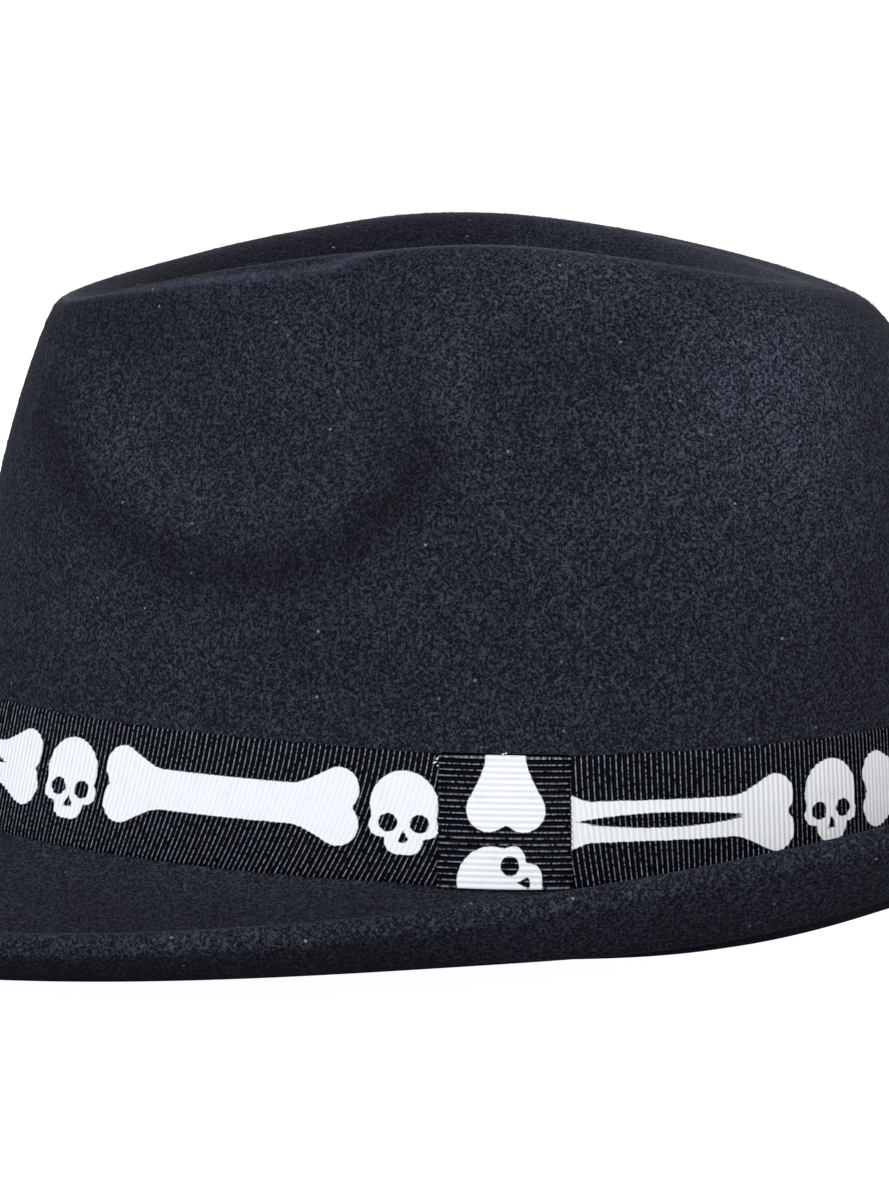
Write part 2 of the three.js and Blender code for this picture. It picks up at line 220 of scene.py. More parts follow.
def wall_scale(t, up):
    """The wall's plan as a share of the oval: a straight lean, rounded into the crest by a superellipse."""
    power = around(ROUNDNESS, t)
    taper = around(TAPER, t)
    over = 1 - (1 - np.clip(up, 0, 1) ** power) ** (1 / power)
    return 1 - taper * up - (1 - taper - around(CREST_SCALE, t)) * over


def wall(t, rise):
    """Crown wall: the height is the crest's times a power of the sine of rise, so that the steps close up
    towards the crest, and the plan is the oval times wall_scale."""
    up = np.sin(rise * np.pi / 2) ** (2 / around(ROUNDNESS, t))
    flat = oval(t) * wall_scale(t, up)[..., None]
    return pinched(points(flat[..., 0], flat[..., 1], around(CREST_HEIGHT, t) * up))


def dent(t, share):
    """Centre dent: the crest's plan times share, falling from the crest to an even floor by a smoothstep."""
    crest = around(CREST_HEIGHT, t)
    floor = CREST_HEIGHT[1] - DENT_DEPTH
    flat = oval(t) * (share * around(CREST_SCALE, t))[..., None]
    height = floor + (crest - floor) * smooth(share, DENT_FLOOR, 1)
    return pinched(points(flat[..., 0], flat[..., 1], height))


def brim(t, out):
    """Brim: an even fall away from the oval, and past the start of the curl a rise by a square law."""
    sag = np.exp(-(((np.sin(t) - SAG_AT) / SAG_REACH) ** 2))
    fall = around(BRIM_FALL, t) + SAG_FALL * sag
    start = around(CURL_START, t) + SAG_CURL_START * sag
    width = around(BRIM_WIDTH, t)
    curl = (around(EDGE_HEIGHT, t) + fall * width) / (width - start) ** 2
    height = -fall * out + curl * np.maximum(0, out - start) ** 2
    flat = oval(t) + outward(t) * out[..., None]
    return points(flat[..., 0], flat[..., 1], height)


def wall_at(t, height, off):
    """Point on the crown wall at a height, moved level off the felt."""
    scale = wall_scale(t, height / around(CREST_HEIGHT, t))
    flat = oval(t) * scale[..., None] + outward(t) * (off + 0 * t)[..., None]
    return points(flat[..., 0], flat[..., 1], height)


def break_curve(t, share):
    """Inside corner between crown and brim: a quadratic Bezier curve with its handle on the oval."""
    start = wall_at(t, BREAK_RADIUS + 0 * t, 0 * t)
    end = brim(t, BREAK_RADIUS + 0 * t)
    s = share[..., None]
    return start * (1 - s) ** 2 + oval(t) * 2 * s * (1 - s) + end * s**2


def brim_normal(t, out):
    """Unit normal of the brim, up: the change by out crossed with the change by turn."""
    step = 1e-3
    down = brim(t, out + step) - brim(t, out - step)
    along = brim(t + step, out) - brim(t - step, out)
    return unit(np.cross(down, along))


def under_brim(t, inset, depth):
    """Point a distance in from the brim's edge and a depth under its top face."""
    out = around(BRIM_WIDTH, t) - inset
    return brim(t, out) - brim_normal(t, out) * depth[..., None]


def fold_point(t, radius, angle):
    """Point at an angle on a circle round the middle of the brim's fold."""
    width = around(BRIM_WIDTH, t)
    up = brim_normal(t, width)
    away = unit(brim(t, width) - brim(t, width - 0.01))
    level = (radius * np.cos(angle))[..., None]
    height = (radius * np.sin(angle))[..., None]
    return brim(t, width) - up * FOLD_RADIUS + away * level + up * height


# ---- From hat coordinates to the frame -------------------------------------------------------------------
def frame_shift():
    """Where the foot of the crown stands in the frame, from the band's lower edge and the wire's middle."""
    band_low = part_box("hat_band")[0]
    wire_low, wire_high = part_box("brim_wire")
    front, back = fold_point(np.array([-np.pi / 2, np.pi / 2]), np.zeros(2), np.zeros(2))
    along = (wire_low.y + wire_high.y) / 2 / MM - (front[1] + back[1]) / 2
    return np.array([0, along, band_low.z / MM - RIBBON_LIFT])


SHIFT = frame_shift()


def placed(p):
    """Hat coordinates in millimetres as frame coordinates in metres."""
    return (p + SHIFT) * MM


# ---- Meshes from arrays ----------------------------------------------------------------------------------
def new_piece(name, places, faces, values=None, uv=None):
    """A smooth-shaded mesh object. places are in hat coordinates, faces is a list of arrays with the corners
    of equal-sized faces, values are numbers for each corner point, and uv is one pair for each point. The
    signed volume, the sum of a . (b x c) over the faces' triangles, says whether they face out."""
    volume = 0.0
    for corners in faces:
        for k in range(1, corners.shape[1] - 1):
            a, b, c = places[corners[:, 0]], places[corners[:, k]], places[corners[:, k + 1]]
            volume += float(np.sum(a * np.cross(b, c)))
    if volume < 0:
        faces = [corners[:, ::-1] for corners in faces]
    mesh = bpy.data.meshes.new(name)
    corner_list = np.concatenate([corners.ravel() for corners in faces])
    counts = np.concatenate([np.full(len(corners), corners.shape[1]) for corners in faces])
    mesh.vertices.add(len(places))
    mesh.vertices.foreach_set("co", placed(places).astype(np.float32).ravel())
    mesh.loops.add(len(corner_list))
    mesh.loops.foreach_set("vertex_index", corner_list.astype(np.int32))
    mesh.polygons.add(len(counts))
    mesh.polygons.foreach_set("loop_start", np.concatenate([[0], np.cumsum(counts)[:-1]]).astype(np.int32))
    mesh.polygons.foreach_set("use_smooth", np.ones(len(counts), bool))
    mesh.update(calc_edges=True)
    for key, numbers in (values or {}).items():
        layer = mesh.attributes.new(key, "FLOAT", "POINT")
        layer.data.foreach_set("value", np.asarray(numbers, np.float32).ravel())
    if uv is not None:
        layer = mesh.uv_layers.new(name="cloth")
        layer.data.foreach_set("uv", uv[corner_list].astype(np.float32).ravel())
    mesh.validate()
    piece = bpy.data.objects.new(name, mesh)
    bpy.context.scene.collection.objects.link(piece)
    return piece


def grid_faces(rows, columns, loop_rows, loop_columns):
    """Corners of the four-sided faces of a grid of points, joined end to end where it loops."""
    i, j = np.meshgrid(np.arange(rows - (not loop_rows)), np.arange(columns - (not loop_columns)), indexing="ij")
    down, right = (i + 1) % rows, (j + 1) % columns
    corners = [i * columns + j, down * columns + j, down * columns + right, i * columns + right]
    return np.stack([c.ravel() for c in corners], axis=1)


def lofted(name, grid, loop_rows=False, ends="fan", values=None, uv=None):
    """A closed solid from rows of closed sections. Open ends close by a fan round the section's middle, or
    by rungs between its two halves where the section is too bent for a fan."""
    rows, columns = grid.shape[:2]
    places = grid.reshape(-1, 3)
    faces = [grid_faces(rows, columns, loop_rows, True)]
    values = {key: np.asarray(v, float).ravel() for key, v in (values or {}).items()}
    uv = None if uv is None else uv.reshape(-1, 2)
    last = (rows - 1) * columns
    if not loop_rows and ends == "rungs":
        j = np.arange(columns // 2 - 1)
        first = np.stack([j, j + 1, columns - 2 - j, columns - 1 - j], axis=1)
        faces += [first, last + first[:, ::-1]]
    elif not loop_rows:
        j = np.arange(columns)
        after = (j + 1) % columns
        for base, flip in ((0, False), (last, True)):
            hub = np.full(columns, len(places))
            ring = np.arange(base, base + columns)
            places = np.concatenate([places, places[ring].mean(axis=0, keepdims=True)])
            values = {key: np.append(v, v[ring].mean()) for key, v in values.items()}
            uv = None if uv is None else np.concatenate([uv, uv[ring].mean(axis=0, keepdims=True)])
            pair = (base + after, base + j) if flip else (base + j, base + after)
            faces.append(np.stack([hub, *pair], axis=1))
    return new_piece(name, places, faces, values, uv)


def strands(name, paths, radius, sides, values=None):
    """Closed round strands. paths holds a row of stations for each strand. The first and last station are
    points and the others are rings, whose radius is radius times the given share for each station."""
    count, stations = paths.shape[:2]
    along = unit(np.gradient(paths, axis=1))
    helper = unit(np.cross(paths[:, -1] - paths[:, 0], [0.31, 0.47, 0.83]))[:, None]
    first = unit(np.cross(along, helper))
    second = np.cross(along, first)
    angle = np.arange(sides) * 2 * np.pi / sides
    inner = slice(1, -1)
    ring = (
        paths[:, inner, None]
        + first[:, inner, None] * (np.cos(angle)[:, None] * radius[:, inner, None, None])
        + second[:, inner, None] * (np.sin(angle)[:, None] * radius[:, inner, None, None])
    )
    size = (stations - 2) * sides + 2
    places = np.concatenate([paths[:, :1], ring.reshape(count, -1, 3), paths[:, -1:]], axis=1)
    base = (np.arange(count) * size)[:, None, None]
    j = np.arange(sides)
    after = (j + 1) % sides
    start = np.stack([0 * j, 1 + after, 1 + j], axis=1)
    lowest = 1 + (stations - 3) * sides
    end = np.stack([0 * j + size - 1, lowest + j, lowest + after], axis=1)
    faces = [(base + start).reshape(-1, 3), (base + end).reshape(-1, 3)]
    if stations > 3:
        faces.append((base + 1 + grid_faces(stations - 2, sides, False, True)).reshape(-1, 4))
    values = {key: np.repeat(v, size) for key, v in (values or {}).items()}
    return new_piece(name, places.reshape(-1, 3), faces, values)


def dress(piece, material, slot, *nodes):
    """Gives a piece its material and slot, and lets it ride on the hat in place of the nodes it stands for."""
    piece.data.materials.clear()
    piece.data.materials.append(material)
    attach(piece, "root")
    if nodes:
        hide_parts(*nodes)
    return piece


# ---- Materials -------------------------------------------------------------------------------------------
def add_node(material, kind, inputs=None, **settings):
    """Adds one shader node: settings are its own, and inputs are values or the sockets that feed it."""
    tree = material.node_tree
    node = tree.nodes.new(kind)
    for key, value in settings.items():
        setattr(node, key, value)
    for key, value in (inputs or {}).items():
        if isinstance(value, bpy.types.NodeSocket):
            tree.links.new(value, node.inputs[key])
        else:
            node.inputs[key].default_value = value
    return node


def new_material(name):
    material = bpy.data.materials.new(name)
    material.use_nodes = True
    material.node_tree.nodes.clear()
    return material


def finish_material(material, shader):
    add_node(material, "ShaderNodeOutputMaterial", {"Surface": shader.outputs[0]})
    return material


def rgba(colour):
    return (*colour, 1.0)


def wool_felt():
    """Wool felt: combed wool matted under steam and pressed over a block. The eye sees short fibres lying
    every way, lighter on their backs and dark between, a soft bloom at grazing angles, faint clouds where
    the dye took unevenly, and a paler rub along the crest and the brim's edge."""
    m = new_material("wool felt")
    place = add_node(m, "ShaderNodeTexCoord").outputs["Object"]
    # fibres: the level lines of a noise, about 0.2 mm wide, broken into lengths of about a millimetre by
    # another; drawn coarser than real wool so that they show
    layers = []
    for offset, scale in ((0.0, 1250), (3.7, 1600), (8.1, 950)):
        moved = add_node(m, "ShaderNodeMapping", {"Vector": place, "Location": (offset, offset, offset)}).outputs[0]
        noise = add_node(
            m, "ShaderNodeTexNoise", {"Vector": moved, "Scale": scale, "Detail": 1, "Distortion": 0.7}
        )
        level = add_node(m, "ShaderNodeMath", {0: noise.outputs["Fac"], 1: 0.5}, operation="SUBTRACT")
        far = add_node(m, "ShaderNodeMath", {0: level.outputs[0]}, operation="ABSOLUTE")
        line = add_node(m, "ShaderNodeMapRange", {"Value": far.outputs[0], "From Min": 0.11, "From Max": 0.02})
        gaps = add_node(m, "ShaderNodeTexNoise", {"Vector": moved, "Scale": scale * 1.3, "Detail": 0})
        kept = add_node(m, "ShaderNodeMapRange", {"Value": gaps.outputs["Fac"], "From Min": 0.5, "From Max": 0.66})
        layers.append(
            add_node(m, "ShaderNodeMath", {0: line.outputs[0], 1: kept.outputs[0]}, operation="MULTIPLY").outputs[0]
        )
    pair = add_node(m, "ShaderNodeMath", {0: layers[0], 1: layers[1]}, operation="MAXIMUM")
    fibres = add_node(m, "ShaderNodeMath", {0: pair.outputs[0], 1: layers[2]}, operation="MAXIMUM")
    # grain: where fibres cross, lumps and pits of about half a millimetre
    grain = add_node(
        m, "ShaderNodeTexNoise", {"Vector": place, "Scale": 2100, "Detail": 2, "Roughness": 0.75}
    )
    cloud = add_node(m, "ShaderNodeTexNoise", {"Vector": place, "Scale": 38, "Detail": 4, "Roughness": 0.55})
    grain_share = add_node(
        m, "ShaderNodeMapRange",
        {"Value": grain.outputs["Fac"], "From Min": 0.36, "From Max": 0.68, "To Min": -0.02, "To Max": 0.1},
    )
    both = add_node(
        m, "ShaderNodeMath", {0: fibres.outputs[0], 1: 0.38, 2: grain_share.outputs[0]}, operation="MULTIPLY_ADD"
    )
    clouded = add_node(
        m, "ShaderNodeMapRange",
        {"Value": cloud.outputs["Fac"], "From Min": 0.3, "From Max": 0.7, "To Min": 0.82, "To Max": 1.18},
    )
    # painted light and shade: lighter patches where light falls full on the crown, darker where it turns away, a
    # shaded crescent in each pinch, and painted shade over the dent and the brim's top
    painted_light_shade = add_node(m, "ShaderNodeAttribute", attribute_name="painted_light_shade")
    tone = add_node(
        m, "ShaderNodeMath", {0: clouded.outputs[0], 1: painted_light_shade.outputs["Fac"]}, operation="MULTIPLY"
    )
    # painted highlights along the crest and the brim's fold, and on the hem's raw edge a painted highlight over its
    # paler cut fibres
    highlight_and_cut_edge = add_node(m, "ShaderNodeAttribute", attribute_name="highlight_and_cut_edge")
    light = add_node(
        m, "ShaderNodeMath", {0: both.outputs[0], 1: tone.outputs[0]}, operation="MULTIPLY"
    )
    # the share of the lighter colour: fibres and grain, dye clouds, painted light and shade, and painted highlights
    worn = add_node(
        m, "ShaderNodeMath", {0: highlight_and_cut_edge.outputs["Fac"], 1: 0.35, 2: light.outputs[0]},
        operation="MULTIPLY_ADD", use_clamp=True,
    )
    body = add_node(
        m, "ShaderNodeMix",
        {"Factor": worn.outputs[0], "A": rgba(colours().felt_dark), "B": rgba(colours().felt_light)},
        data_type="RGBA",
    )
    # specks: the odd fibre end that took no dye, or took it bluer
    speck = add_node(m, "ShaderNodeTexVoronoi", {"Vector": place, "Scale": 520, "Randomness": 1.0})
    near = add_node(
        m, "ShaderNodeMapRange", {"Value": speck.outputs["Distance"], "From Min": 0.2, "From Max": 0.08}
    )
    chosen = add_node(m, "ShaderNodeSeparateColor", {"Color": speck.outputs["Color"]})
    few = add_node(m, "ShaderNodeMath", {0: chosen.outputs["Red"], 1: 0.96}, operation="GREATER_THAN")
    speck_share = add_node(m, "ShaderNodeMath", {0: near.outputs[0], 1: few.outputs[0]}, operation="MULTIPLY")
    speck_colour = add_node(
        m, "ShaderNodeMix",
        {"Factor": chosen.outputs["Green"], "A": rgba(from_hex("4a4f7c")), "B": rgba(from_hex("8a90a6"))},
        data_type="RGBA",
    )
    colour = add_node(
        m, "ShaderNodeMix",
        {"Factor": speck_share.outputs[0], "A": body.outputs["Result"], "B": speck_colour.outputs["Result"]},
        data_type="RGBA",
    )
    rough = add_node(
        m, "ShaderNodeMapRange", {"Value": grain.outputs["Fac"], "To Min": 0.82, "To Max": 1.0}
    )
    relief = add_node(
        m, "ShaderNodeBump",
        {"Height": both.outputs[0], "Strength": 0.9, "Distance": 0.0004},
    )
    shader = add_node(
        m, "ShaderNodeBsdfPrincipled",
        {
            "Base Color": colour.outputs["Result"],
            "Roughness": rough.outputs[0],
            "Normal": relief.outputs[0],
            "IOR": 1.45,
            "Specular IOR Level": 0.1,
            "Sheen Weight": 0.04,
            "Sheen Roughness": 0.45,
            "Sheen Tint": rgba(from_hex("aab0cc")),
        },
    )
    return finish_material(m, shader)


def grosgrain():
    """Polyester grosgrain: a thick weft under a fine tight warp, so that it stands in ribs across its
    width, printed with one flat layer of ink. The eye sees near-black grooves, grey lights broken into
    dashes by the warp on each rib, and ink that sits on the ribs and thins in the grooves."""
    m = new_material("printed grosgrain")
    cloth = add_node(m, "ShaderNodeUVMap", uv_map="cloth").outputs[0]
    rib = add_node(m, "ShaderNodeAttribute", attribute_name="rib").outputs["Fac"]
    ink = add_node(m, "ShaderNodeAttribute", attribute_name="ink").outputs["Fac"]
    # warp threads, running along the ribbon: the light on a rib breaks every half a millimetre or so
    threads = add_node(
        m, "ShaderNodeTexNoise",
        {"Vector": add_node(m, "ShaderNodeMapping", {"Vector": cloth, "Scale": (900, 1700, 1)}).outputs[0],
         "Scale": 1.0, "Detail": 2, "Roughness": 0.6},
    )
    patch = add_node(m, "ShaderNodeTexNoise", {"Vector": cloth, "Scale": 260, "Detail": 3, "Roughness": 0.6})
    # painted highlight on the back of each rib, broken into dashes by the warp
    crest = add_node(m, "ShaderNodeMapRange", {"Value": rib, "From Min": 0.7, "From Max": 1.0})
    dash = add_node(
        m, "ShaderNodeMapRange", {"Value": threads.outputs["Fac"], "From Min": 0.38, "From Max": 0.6}
    )
    lit = add_node(m, "ShaderNodeMath", {0: crest.outputs[0], 1: dash.outputs[0]}, operation="MULTIPLY")
    cloth_and_rib_highlight = add_node(
        m, "ShaderNodeMix",
        {"Factor": lit.outputs[0], "A": rgba(colours().ribbon_groove), "B": rgba(colours().ribbon_rib_highlight)},
        data_type="RGBA",
    )
    # the ink's edge wanders by a tenth of a millimetre with the threads
    ragged = add_node(
        m, "ShaderNodeMath", {0: threads.outputs["Fac"], 1: 0.35, 2: ink}, operation="MULTIPLY_ADD"
    )
    inked = add_node(
        m, "ShaderNodeMapRange", {"Value": ragged.outputs[0], "From Min": 0.08, "From Max": 0.27}
    )
    thin = add_node(
        m, "ShaderNodeMapRange", {"Value": rib, "From Min": 0.0, "From Max": 0.5, "To Min": 0.88, "To Max": 1.0}
    )
    worn = add_node(
        m, "ShaderNodeMapRange",
        {"Value": patch.outputs["Fac"], "From Min": 0.3, "From Max": 0.42, "To Min": 0.93, "To Max": 1.0},
    )
    cover = add_node(m, "ShaderNodeMath", {0: inked.outputs[0], 1: thin.outputs[0]}, operation="MULTIPLY")
    share = add_node(m, "ShaderNodeMath", {0: cover.outputs[0], 1: worn.outputs[0]}, operation="MULTIPLY")
    colour = add_node(
        m, "ShaderNodeMix",
        {"Factor": share.outputs[0], "A": cloth_and_rib_highlight.outputs["Result"], "B": rgba(colours().ink)},
        data_type="RGBA",
    )
    rough = add_node(m, "ShaderNodeMapRange", {"Value": share.outputs[0], "To Min": 0.5, "To Max": 0.72})
    relief = add_node(
        m, "ShaderNodeBump", {"Height": threads.outputs["Fac"], "Strength": 0.4, "Distance": 0.0001}
    )
    shader = add_node(
        m, "ShaderNodeBsdfPrincipled",
        {
            "Base Color": colour.outputs["Result"],
            "Roughness": rough.outputs[0],
            "Normal": relief.outputs[0],
            "IOR": 1.5,
            "Specular IOR Level": 0.04,
        },
    )
    return finish_material(m, shader)


def plain_weave(name, colour, spacing, roughness, variation):
    """A plain-woven or spun cloth or thread: threads crossing at the given spacing in millimetres, drawn as
    two crossed waves on Object coordinates. The eye sees a fine chequer of light and dark and a soft gloss."""
    m = new_material(name)
    place = add_node(m, "ShaderNodeTexCoord").outputs["Object"]
    waves = []
    for direction in ("DIAGONAL", "Z"):
        wave = add_node(
            m, "ShaderNodeTexWave",
            {"Vector": place, "Scale": 0.3 / (spacing * MM), "Distortion": 1.5, "Detail": 1.0},
            bands_direction=direction,
        )
        waves.append(wave.outputs["Fac"])
    weave = add_node(m, "ShaderNodeMath", {0: waves[0], 1: waves[1]}, operation="MULTIPLY")
    cloud = add_node(m, "ShaderNodeTexNoise", {"Vector": place, "Scale": 90, "Detail": 3})
    mixed = add_node(
        m, "ShaderNodeMath", {0: cloud.outputs["Fac"], 1: 0.5, 2: weave.outputs[0]}, operation="MULTIPLY_ADD"
    )
    dark = [c * (1 - variation) for c in colour]
    tint = add_node(
        m, "ShaderNodeMix", {"Factor": mixed.outputs[0], "A": rgba(dark), "B": rgba(colour)}, data_type="RGBA"
    )
    rough = add_node(
        m, "ShaderNodeMapRange", {"Value": mixed.outputs[0], "To Min": roughness, "To Max": roughness + 0.15}
    )
    relief = add_node(m, "ShaderNodeBump", {"Height": weave.outputs[0], "Strength": 0.5, "Distance": 0.0001})
    shader = add_node(
        m, "ShaderNodeBsdfPrincipled",
        {"Base Color": tint.outputs["Result"], "Roughness": rough.outputs[0], "Normal": relief.outputs[0],
         "IOR": 1.5, "Specular IOR Level": 0.3, "Sheen Weight": 0.1},
    )
    return finish_material(m, shader)


def drawn_metal(name, colour, roughness):
    """Drawn wire or pressed sheet: fine scratches run where the die held it, so the gloss is streaked."""
    m = new_material(name)
    place = add_node(m, "ShaderNodeTexCoord").outputs["Object"]
    scratch = add_node(m, "ShaderNodeTexNoise", {"Vector": place, "Scale": 2500, "Detail": 3})
    tarnish = add_node(m, "ShaderNodeTexNoise", {"Vector": place, "Scale": 120, "Detail": 3})
    dark = [c * 0.7 for c in colour]
    tint = add_node(
        m, "ShaderNodeMix",
        {"Factor": tarnish.outputs["Fac"], "A": rgba(dark), "B": rgba(colour)}, data_type="RGBA",
    )
    rough = add_node(
        m, "ShaderNodeMapRange",
        {"Value": scratch.outputs["Fac"], "To Min": roughness - 0.1, "To Max": roughness + 0.15},
    )
    relief = add_node(m, "ShaderNodeBump", {"Height": scratch.outputs["Fac"], "Strength": 0.2, "Distance": 0.00005})
    shader = add_node(
        m, "ShaderNodeBsdfPrincipled",
        {"Base Color": tint.outputs["Result"], "Roughness": rough.outputs[0], "Metallic": 1.0,
         "Normal": relief.outputs[0]},
    )
    return finish_material(m, shader)


def loose_wool():
    """Loose wool fibre: the same dyed wool as the felt, standing free, so it catches more light. Each fibre
    has its own shade."""
    m = new_material("loose wool fibre")
    shade = add_node(m, "ShaderNodeAttribute", attribute_name="shade")
    place = add_node(m, "ShaderNodeTexCoord").outputs["Object"]
    kink = add_node(m, "ShaderNodeTexNoise", {"Vector": place, "Scale": 1500, "Detail": 1})
    mixed = add_node(
        m, "ShaderNodeMath", {0: kink.outputs["Fac"], 1: 0.3, 2: shade.outputs["Fac"]},
        operation="MULTIPLY_ADD", use_clamp=True,
    )
    tint = add_node(
        m, "ShaderNodeMix",
        {"Factor": mixed.outputs[0], "A": rgba(colours().felt_dark), "B": rgba(colours().fibre)},
        data_type="RGBA",
    )
    relief = add_node(m, "ShaderNodeBump", {"Height": kink.outputs["Fac"], "Strength": 0.3, "Distance": 0.00002})
    shader = add_node(
        m, "ShaderNodeBsdfPrincipled",
        {"Base Color": tint.outputs["Result"], "Roughness": 0.7, "Normal": relief.outputs[0],
         "Specular IOR Level": 0.3},
    )
    return finish_material(m, shader)


# ---- Felt body -------------------------------------------------------------------------------------------
CREASE_HEIGHT, CREASE_DROP, CREASE_DEPTH, CREASE_WIDTH = 43.0, 2.5, 0.3, 0.9
DENT_ROWS, WALL_ROWS, CORNER_ROWS, BRIM_ROWS = 38, 62, 5, 46
FIRST_BRIM_ROW = DENT_ROWS + WALL_ROWS + CORNER_ROWS
LAST_BRIM_ROW = FIRST_BRIM_ROW + BRIM_ROWS


def felt_give(p, t):
    """How far the pressed felt stands off its block: low waves of some centimetres in three directions, and
    a faint crease round the wearer's left and back where the band's block ended."""
    x, y, z = p[..., 0], p[..., 1], p[..., 2]
    waves = np.sin(x / 13 + 1.3 * np.sin(y / 21)) * np.sin(z / 11 + y / 17) + 0.6 * np.sin(y / 9 + z / 19 + 2)
    crease_at = CREASE_HEIGHT - CREASE_DROP * np.maximum(0, np.sin(t)) + 0.5 * np.sin(6 * t)
    shown = smooth(t, -0.1, 0.3) * (1 - smooth(t, 2.6, 3.0))
    crease = -CREASE_DEPTH * np.exp(-(((z - crease_at) / CREASE_WIDTH) ** 2)) * shown
    clear_of_band = smooth(z, 28, 36)
    return (0.22 * waves * clear_of_band + crease) * (z > 0)


def felt_outside(t):
    """Rows of the felt's outer face from the middle of the dent over the crest, down the wall and out to the
    brim's edge. Returns the points and their unit normals, the change by row crossed with the change by turn."""
    t = t[None, :]
    shares = 1 - (1 - np.linspace(0.03, 1, DENT_ROWS)[:, None]) ** 1.25 + 0 * t
    downs = np.linspace(0.012, 0.985, WALL_ROWS)[:, None] + 0 * t
    corner = np.linspace(0, 1, CORNER_ROWS)[:, None] + 0 * t
    outs = 1 - (1 - np.linspace(0.03, 1, BRIM_ROWS)[:, None]) ** 1.2
    width = around(BRIM_WIDTH, t)
    t = t + 0 * shares[:1]
    rows = np.concatenate(
        [
            dent(np.broadcast_to(t, shares.shape), shares),
            wall(np.broadcast_to(t, downs.shape), 1 - downs),
            break_curve(np.broadcast_to(t, corner.shape), corner),
            brim(np.broadcast_to(t, (len(outs), t.shape[1])), BREAK_RADIUS + outs * (width - BREAK_RADIUS)),
        ]
    )
    return rows, grid_normals(rows), len(outs)


def grid_normals(rows):
    """Unit normals of a grid that loops along its rows."""
    down = np.gradient(rows, axis=0)
    along = np.roll(rows, -1, axis=1) - np.roll(rows, 1, axis=1)
    return unit(np.cross(down, along))


def felt_rows(t):
    """Every row of the felt body, and the share of wear on each point: outer face, fold, hem, raw edge, slit,
    wire channel, and the inner face, which is the outer one less the felt's thickness."""
    outer, normal, brim_rows = felt_outside(t)
    give = felt_give(outer, t[None, :])
    outer = outer + normal * give[..., None]
    ring = t[None, :]

    def ringed(function, *numbers):
        arrays = [np.asarray(n, float)[:, None] + 0 * ring for n in numbers]
        return function(np.broadcast_to(ring, arrays[0].shape), *arrays)

    slit_bottom = FELT + HEM_SLIT
    hem_bottom = 2 * FOLD_RADIUS
    mid_hem = HEM_TURN * 0.6
    turned = np.radians(np.linspace(90, -90, 16)[1:])
    fold = ringed(fold_point, np.full(len(turned), FOLD_RADIUS), turned)
    bevel = np.radians(np.linspace(0, 90, 4))
    insets = np.concatenate(
        [np.linspace(0.6, HEM_TURN - RAW_BEVEL, 9), HEM_TURN - RAW_BEVEL + RAW_BEVEL * np.sin(bevel[1:]),
         [HEM_TURN, mid_hem]]
    )
    depths = np.concatenate(
        [np.full(9, hem_bottom), hem_bottom - RAW_BEVEL * (1 - np.cos(bevel[1:])), [slit_bottom, slit_bottom]]
    )
    hem = ringed(under_brim, insets, depths)
    low_lip = np.pi - math.asin((FOLD_RADIUS - slit_bottom) / CHANNEL_RADIUS)
    high_lip = 3 * np.pi - math.asin((FOLD_RADIUS - FELT) / CHANNEL_RADIUS)
    lips = np.linspace(low_lip, high_lip, 9)
    channel = ringed(fold_point, np.full(len(lips), CHANNEL_RADIUS), lips)
    slit = ringed(under_brim, [mid_hem, HEM_TURN + RAW_BEVEL], [FELT, FELT])
    inner = (outer - normal * FELT)[: len(outer) - brim_rows + int(brim_rows * 0.68)][::-3]
    rows = np.concatenate([outer, fold, hem, channel, slit, inner])
    return rows, highlight_and_cut_edge_shares(rows, t, len(outer), len(fold), len(hem))


def highlight_and_cut_edge_shares(rows, t, outer_count, fold_count, hem_count):
    """Rub marks: a narrow bell across the crest of the crown, another across the crown of the fold, and pale
    cut fibres along the hem's raw edge."""
    crest = around(CREST_HEIGHT, t)[None, :]
    flat = np.linalg.norm(rows[..., :2], axis=-1)
    crest_flat = np.linalg.norm(oval(t)[:, :2], axis=-1)[None, :] * around(CREST_SCALE, t)[None, :]
    high = smooth(rows[..., 2], crest - 6, crest)
    # painted highlight along the crest of the crown
    highlight_and_cut_edge = 0.9 * high * np.exp(-(((flat - crest_flat - 0.4) / 0.9) ** 2))
    order = np.arange(len(rows))[:, None]
    # painted highlight across the crown of the brim's fold
    highlight_and_cut_edge = highlight_and_cut_edge + 0.4 * np.exp(-(((order - outer_count) / 3.0) ** 2))
    highlight_and_cut_edge = highlight_and_cut_edge * (order < outer_count + fold_count)
    # the raw edge's paler cut fibres, lightened further as a painted highlight
    raw_edge = outer_count + fold_count + hem_count - 4
    return highlight_and_cut_edge + 2.4 * (np.abs(order - raw_edge) <= 1)


# Patches of painted light and shade on the felt, lighter where light falls full on the crown and darker where it
# turns away: distance behind the wearer's left side, height, reach along and up, and how much lighter or darker it
# reads.
PAINTED_LIGHT_PATCHES = (
    (58, 88, 26, 26, 0.85),
    (24, 112, 14, 9, 0.6),
    (88, 60, 16, 60, -0.25),
    (-60, 100, 16, 10, -0.28),
    (-2, 94, 6, 12, 0.5),
    (-62, 72, 14, 9, 0.35),
)
# painted shade along the lower rim of each front pinch: its radius round the pinch's middle, its width and how much
# darker it is
PINCH_SHADE_RADIUS, PINCH_SHADE_WIDTH, PINCH_PAINTED_SHADE = 39.5, 5.5, 0.58
# painted shade over the dent, and over the brim's top face
DENT_PAINTED_SHADE, BRIM_TOP_PAINTED_SHADE = 0.5, 0.28


